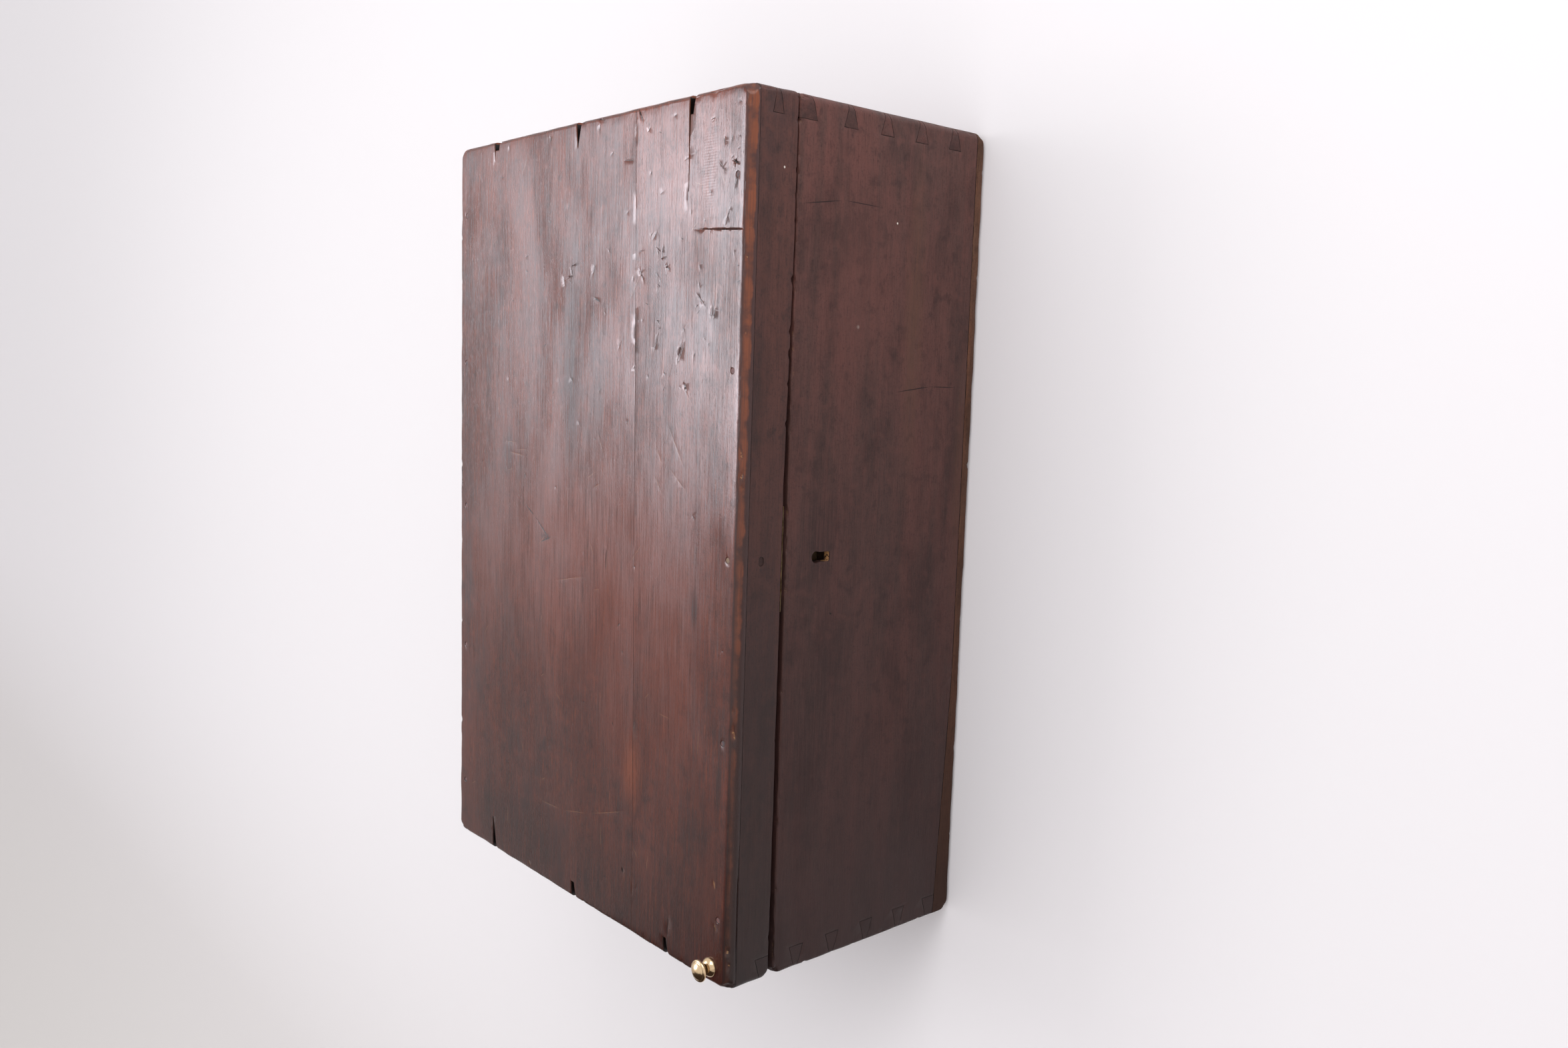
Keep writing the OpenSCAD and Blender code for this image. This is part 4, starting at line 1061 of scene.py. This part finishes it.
def keyhole_raw(mesh):
    """Bare wood inside the keyhole of the right side."""
    chipped = mesh.verts.layers.float["chipped"]
    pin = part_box("lock_pin")
    outer = case_box[1].x
    for vert in mesh.verts:
        inside = outer - KEYHOLE_DEPTH[1] < vert.co.x < outer - KEYHOLE_DEPTH[0]
        tall = abs(vert.co.z - (pin[0].z + pin[1].z) / 2) < KEYHOLE_HALF
        deep = pin[1].y + KEYHOLE_BACK[0] < vert.co.y < pin[1].y + KEYHOLE_BACK[1]
        if inside and tall and deep:
            vert[chipped] = 1.0


# Operators


class CABINET_OT_case_boards(bpy.types.Operator):
    """Make the case's dovetailed boards and its back"""

    bl_idname = "cabinet.case_boards"
    bl_label = "Case boards"

    def execute(self, context):
        wear = context.scene.cabinet_wear
        side = tones("side")
        specks = patches(SIDE_PATCHES, side_point)
        for number, node in enumerate(("side_left", "side_right")):
            satin = wood_finish(
                node + "_satin", side, shift=(0.31 * number, 0.0, 0.17), gloss=0.5, shine=0.2, figure=0.4,
                spots=specks, foot=0.9)
            marks = side_marks if node == "side_right" else None
            worn_board(node, case_box, wear.board_step, satin, marks, case_strength)
        for number, node in enumerate(("top_board", "bottom_board")):
            satin = wood_finish(
                node + "_satin", side, CROSSWISE, (0.0, 0.23 * number, 0.41), gloss=0.5, shine=0.2,
                figure=0.5, foot=0.9)
            worn_board(node, case_box, wear.board_step, satin, strength=case_strength)
        plain = wood_finish(
            "back_wood", tones("plain"), shift=(0.7, 0.2, 0.0), gloss=0.75, shine=0.1, foot=0.95)
        worn_board(
            "back_board", case_box, wear.board_step, plain, strength=case_strength,
            groove=wear.back_groove)
        return {"FINISHED"}


class CABINET_OT_door_boards(bpy.types.Operator):
    """Make the door's two front boards and its dovetailed rim"""

    bl_idname = "cabinet.door_boards"
    bl_label = "Door boards"

    def execute(self, context):
        wear = context.scene.cabinet_wear
        spots = patches(FRONT_PATCHES, front_point)
        ripple = (front_point(RIPPLE[0]), metres(RIPPLE[1]))
        specks = patches(RIM_PATCHES, side_point)
        for number, node in enumerate(DOOR_PANEL):
            polish = wood_finish(
                node + "_polish", tones("front"), shift=(0.13 * number, 0.0, 0.29 * number),
                gloss=0.27, shine=0.29, spots=spots, foot=0.6, front=True, ripple=ripple)
            worn_board(node, door_box, wear.panel_step, polish, front_marks, free_edge_strength)
        for number, node in enumerate(DOOR_RIM):
            turn = UPRIGHT if node in ("door_rim_left", "door_rim_right") else CROSSWISE
            satin = wood_finish(
                node + "_satin", tones("rim"), turn, (0.19 * number, 0.0, 0.11), gloss=0.46, shine=0.2,
                figure=0.5, spots=specks, foot=0.9)
            worn_board(node, door_box, wear.board_step, satin, strength=free_edge_strength)
        return {"FINISHED"}


class CABINET_OT_shelf(bpy.types.Operator):
    """Make the shelf and its two cleats"""

    bl_idname = "cabinet.shelf"
    bl_label = "Shelf"

    def execute(self, context):
        plain = tones("plain")
        crosswise = wood_finish("shelf_wood", plain, CROSSWISE, (0.0, 0.4, 0.2), gloss=0.75, shine=0.1)
        cleat = wood_finish("cleat_wood", plain, LENGTHWISE, (0.5, 0.1, 0.3), gloss=0.75, shine=0.1)
        eased_copy("planed_shelf", "shelf", crosswise)
        eased_copy("left_cleat", "shelf_cleat_left", cleat)
        eased_copy("right_cleat", "shelf_cleat_right", cleat)
        return {"FINISHED"}


class CABINET_OT_fastenings(bpy.types.Operator):
    """Make the nails and the plug in the rim"""

    bl_idname = "cabinet.fastenings"
    bl_label = "Nails and plug"

    def execute(self, context):
        iron = iron_finish("nail_iron")
        eased_copy("cut_panel_nails", "panel_nails", iron_finish("stained_iron", True), door_box)
        eased_copy("cut_back_nails", "back_nails", iron, case_box)
        eased_copy("cut_cleat_nails", "cleat_nails", iron)
        eased_copy("cut_shelf_nails", "shelf_nails", iron)
        colours = context.scene.cabinet_colours
        dark = (colours.plug, colours.rim_ground, colours.grime_and_shade)
        plug = wood_finish("plug_wood", dark, gloss=0.5, shine=0.2)
        eased_copy("whittled_plug", "rim_plug", plug, door_box)
        return {"FINISHED"}


class CABINET_OT_knob(bpy.types.Operator):
    """Make the turned knob, its rose and its screw"""

    bl_idname = "cabinet.knob"
    bl_label = "Knob"

    def execute(self, context):
        polished = brass_finish("knob_brass", 0.35, 0.1)
        eased_copy("turned_knob", "knob", polished)
        eased_copy("turned_rose", "knob_rose", polished)
        eased_copy("knob_thread", "knob_screw", iron_finish("knob_iron"))
        return {"FINISHED"}


class CABINET_OT_hinges(bpy.types.Operator):
    """Make both butt hinges with their pins and screws"""

    bl_idname = "cabinet.hinges"
    bl_label = "Hinges"

    def execute(self, context):
        old = brass_finish("hinge_brass", 0.85, 0.26)
        for end in ("upper", "lower"):
            for part in ("case_leaf", "door_leaf", "pin"):
                eased_copy(f"{end}_butt_{part}", f"{end}_hinge_{part}", old)
        for part in ("case", "door"):
            eased_copy(f"{part}_leaf_screws", f"hinge_{part}_screws", old)
        return {"FINISHED"}


class CABINET_OT_lock(bpy.types.Operator):
    """Make the lock, its bolt and spring, and the plate that the bolt takes hold of"""

    bl_idname = "cabinet.lock"
    bl_label = "Lock"

    def execute(self, context):
        old = brass_finish("lock_brass", 0.9, 0.3)
        iron = iron_finish("lock_iron")
        names = {
            "lock_plate": "box_lock_plate", "lock_cover": "box_lock_cover", "lock_pin": "key_pin",
            "lock_bolt": "sliding_bolt", "lock_spring": "bolt_spring", "lock_screws": "box_lock_screws",
            "link_plate": "staple_plate", "link_screws": "staple_plate_screws",
        }
        for node, name in names.items():
            eased_copy(name, node, old if slot_of[node] == "brass" else iron)
        return {"FINISHED"}


class CABINET_OT_stage(bpy.types.Operator):
    """Set up the wall and floor, the light and the camera"""

    bl_idname = "cabinet.stage"
    bl_label = "Stage"

    def execute(self, context):
        stage = context.scene.cabinet_stage
        make_backdrop(stage)
        make_dark_card()
        make_light(context.scene, stage)
        make_camera(context.scene, stage)
        context.scene.view_settings.view_transform = "Standard"
        return {"FINISHED"}


# Stage

# Half width of the backdrop, heights of its top and floor, its reach into the room and its bend
STAGE_HALF = 9.0
STAGE_TOP = 2.4
STAGE_FLOOR = -1.7
STAGE_FRONT = -3.5
STAGE_BEND = 0.6
# The dark card: its height, half its side, its distance from the wall and its tone
CARD_HEIGHT = -1.2
CARD_HALF = 1.1
CARD_GAP = 0.1
CARD_TONE = "#3a302b"
# The soft lights from the middle of the cabinet, the sides of their squares, and the tints of the light
OVERHEAD_PLACE = Vector((0.8, -0.9, 1.4))
OVERHEAD_SIZE = 1.2
BEHIND_PLACE = Vector((0.9, 2.0, 0.9))
BEHIND_SIZE = 1.5
GLEAM_TINT = (0.93, 0.91, 1.0)
ROOM_TINT = (0.97, 0.965, 0.97)
# The wall is open behind the cabinet, this far inside its outline, so that its back is lit
OPENING_INSET = 5 * MM
# The wall stands this far behind the cabinet
WALL_GAP = 0.5 * MM


def make_backdrop(stage):
    """A wall that curves into a floor, seen only from the room's side."""
    mesh = bmesh.new()
    wall = WALL_GAP
    across = (-STAGE_HALF, case_box[0].x + OPENING_INSET, case_box[1].x - OPENING_INSET, STAGE_HALF)
    bend = STAGE_FLOOR + STAGE_BEND
    rise = (bend, case_box[0].z + OPENING_INSET, case_box[1].z - OPENING_INSET, STAGE_TOP)
    grid = [[mesh.verts.new((x, wall, z)) for x in across] for z in rise]
    for row in range(3):
        for column in range(3):
            if row == 1 and column == 1:
                continue
            lower = grid[row][column:column + 2]
            upper = grid[row + 1][column:column + 2]
            mesh.faces.new((*lower, *reversed(upper)))
    foot = [e for e in mesh.edges if all(abs(v.co.z - rise[0]) < MERGE for v in e.verts)]
    centre = (0.0, wall - STAGE_BEND, rise[0])
    bent = bmesh.ops.spin(
        mesh, geom=foot, cent=centre, axis=(1.0, 0.0, 0.0), angle=-math.pi / 2, steps=12)
    front = [part for part in bent["geom_last"] if isinstance(part, bmesh.types.BMEdge)]
    floor = bmesh.ops.extrude_edge_only(mesh, edges=front)
    border = [part for part in floor["geom"] if isinstance(part, bmesh.types.BMVert)]
    bmesh.ops.translate(mesh, verts=border, vec=(0.0, STAGE_FRONT, 0.0))
    bmesh.ops.recalc_face_normals(mesh, faces=mesh.faces)
    mesh.faces.ensure_lookup_table()
    if mesh.faces[0].normal.y > 0:
        bmesh.ops.reverse_faces(mesh, faces=mesh.faces)
    data = bpy.data.meshes.new("backdrop")
    mesh.to_mesh(data)
    mesh.free()
    data.shade_smooth()
    data.materials.append(backdrop_finish(stage))
    backdrop = bpy.data.objects.new("backdrop", data)
    bpy.context.scene.collection.objects.link(backdrop)


def make_dark_card():
    """A dark floor that only polish and metal see."""
    mesh = bmesh.new()
    bmesh.ops.create_grid(mesh, x_segments=1, y_segments=1, size=CARD_HALF)
    bmesh.ops.translate(mesh, verts=mesh.verts, vec=(0.0, -CARD_HALF - CARD_GAP, CARD_HEIGHT))
    data = bpy.data.meshes.new("dark_card")
    mesh.to_mesh(data)
    mesh.free()
    finish = Finish("dark_card_paint")
    finish.set("Base Color", paint(shade(CARD_TONE)))
    finish.set("Roughness", 1.0)
    finish.set("Specular IOR Level", 0.0)
    data.materials.append(finish.material)
    card = bpy.data.objects.new("dark_card", data)
    card.visible_camera = False
    card.visible_diffuse = False
    card.visible_shadow = False
    bpy.context.scene.collection.objects.link(card)


def backdrop_finish(stage):
    """Matt paint, white on the wall and pale grey on the floor, and nothing seen from behind."""
    finish = Finish("backdrop_paint")
    upper = finish.step(finish.split("Object")["Z"], STAGE_FLOOR, STAGE_FLOOR + 2 * STAGE_BEND)
    finish.set("Base Color", finish.mix(upper, paint(stage.floor), paint(stage.wall)))
    finish.set("Roughness", 0.9)
    finish.set("Specular IOR Level", 0.0)
    clear = finish.node("ShaderNodeBsdfTransparent")
    side = finish.node("ShaderNodeNewGeometry")
    both = finish.node("ShaderNodeMixShader")
    finish.feed(both.inputs[0], side.outputs["Backfacing"])
    finish.feed(both.inputs[1], finish.surface.outputs[0])
    finish.feed(both.inputs[2], clear.outputs[0])
    finish.feed(finish.out.inputs["Surface"], both.outputs[0])
    return finish.material


def aim(place, target):
    """The turn that points a light at a target."""
    return (target - place).to_track_quat("-Z", "Y").to_euler()


def soft_light(scene, name, place, target, size, power):
    """A square area light."""
    data = bpy.data.lights.new(name, "AREA")
    data.shape = "SQUARE"
    data.size = size
    data.energy = power
    light = bpy.data.objects.new(name, data)
    light.location = place
    light.rotation_euler = aim(place, target)
    scene.collection.objects.link(light)
    return light


def make_light(scene, stage):
    """A window to the left, soft lights overhead and behind, and an even room light."""
    middle = (cad_low + cad_high) / 2
    level = math.cos(stage.window_rise)
    towards = Vector((
        -math.sin(stage.window_heading) * level, -math.cos(stage.window_heading) * level,
        math.sin(stage.window_rise)))
    window = middle + towards * stage.window_distance
    soft_light(scene, "window", window, middle, stage.window_size, stage.window_light)
    gleam = soft_light(scene, "gleam", window, middle, stage.window_size, stage.gleam_light)
    gleam.visible_diffuse = False
    gleam.data.color = GLEAM_TINT
    overhead = middle + OVERHEAD_PLACE
    soft_light(scene, "overhead", overhead, middle, OVERHEAD_SIZE, stage.overhead_light)
    behind = middle + BEHIND_PLACE
    soft_light(scene, "behind", behind, middle, BEHIND_SIZE, stage.behind_light)
    world = bpy.data.worlds.new("room")
    world.use_nodes = True
    background = world.node_tree.nodes["Background"]
    background.inputs["Color"].default_value = paint(ROOM_TINT)
    background.inputs["Strength"].default_value = stage.sky
    scene.world = world


def make_camera(scene, stage):
    """The camera, at the photograph's place and angle."""
    data = bpy.data.cameras.new("camera")
    data.sensor_fit = "HORIZONTAL"
    data.sensor_width = 36.0
    data.lens = stage.lens
    data.clip_start = 0.01
    camera = bpy.data.objects.new("camera", data)
    turn = Matrix.Rotation(stage.heading, 3, "Z")
    turn = turn @ Matrix.Rotation(math.pi / 2 + stage.pitch, 3, "X")
    turn = turn @ Matrix.Rotation(stage.roll, 3, "Z")
    camera.location = stage.eye
    camera.rotation_euler = turn.to_euler()
    scene.collection.objects.link(camera)
    scene.camera = camera


# Panel and registration

STEPS = (
    CABINET_OT_case_boards, CABINET_OT_door_boards, CABINET_OT_shelf, CABINET_OT_fastenings,
    CABINET_OT_knob, CABINET_OT_hinges, CABINET_OT_lock, CABINET_OT_stage,
)
SETTINGS = {
    "cabinet_colours": CabinetColours, "cabinet_wood": CabinetWood,
    "cabinet_wear": CabinetWear, "cabinet_stage": CabinetStage,
}


class CABINET_PT_sidebar(bpy.types.Panel):
    """The cabinet's pieces and settings"""

    bl_idname = "CABINET_PT_sidebar"
    bl_label = "Small wall cabinet"
    bl_space_type = "VIEW_3D"
    bl_region_type = "UI"
    bl_category = "Cabinet"

    def draw(self, context):
        for step in STEPS:
            self.layout.operator(step.bl_idname)
        for name, group in SETTINGS.items():
            box = self.layout.box()
            box.label(text=group.__doc__)
            for key in group.__annotations__:
                box.prop(getattr(context.scene, name), key)


def register():
    """Add the settings, the operators and the panel."""
    for group in SETTINGS.values():
        bpy.utils.register_class(group)
    for step in STEPS:
        bpy.utils.register_class(step)
    bpy.utils.register_class(CABINET_PT_sidebar)
    for name, group in SETTINGS.items():
        setattr(bpy.types.Scene, name, PointerProperty(type=group))


def unregister():
    """Take the settings, the operators and the panel away."""
    for name in SETTINGS:
        delattr(bpy.types.Scene, name)
    bpy.utils.unregister_class(CABINET_PT_sidebar)
    for step in reversed(STEPS):
        bpy.utils.unregister_class(step)
    for group in reversed(SETTINGS.values()):
        bpy.utils.unregister_class(group)


def main():
    """Make every piece and the stage."""
    register()
    for step in STEPS:
        group, name = step.bl_idname.split(".")
        getattr(getattr(bpy.ops, group), name)()


if __name__ == "__main__":
    main()
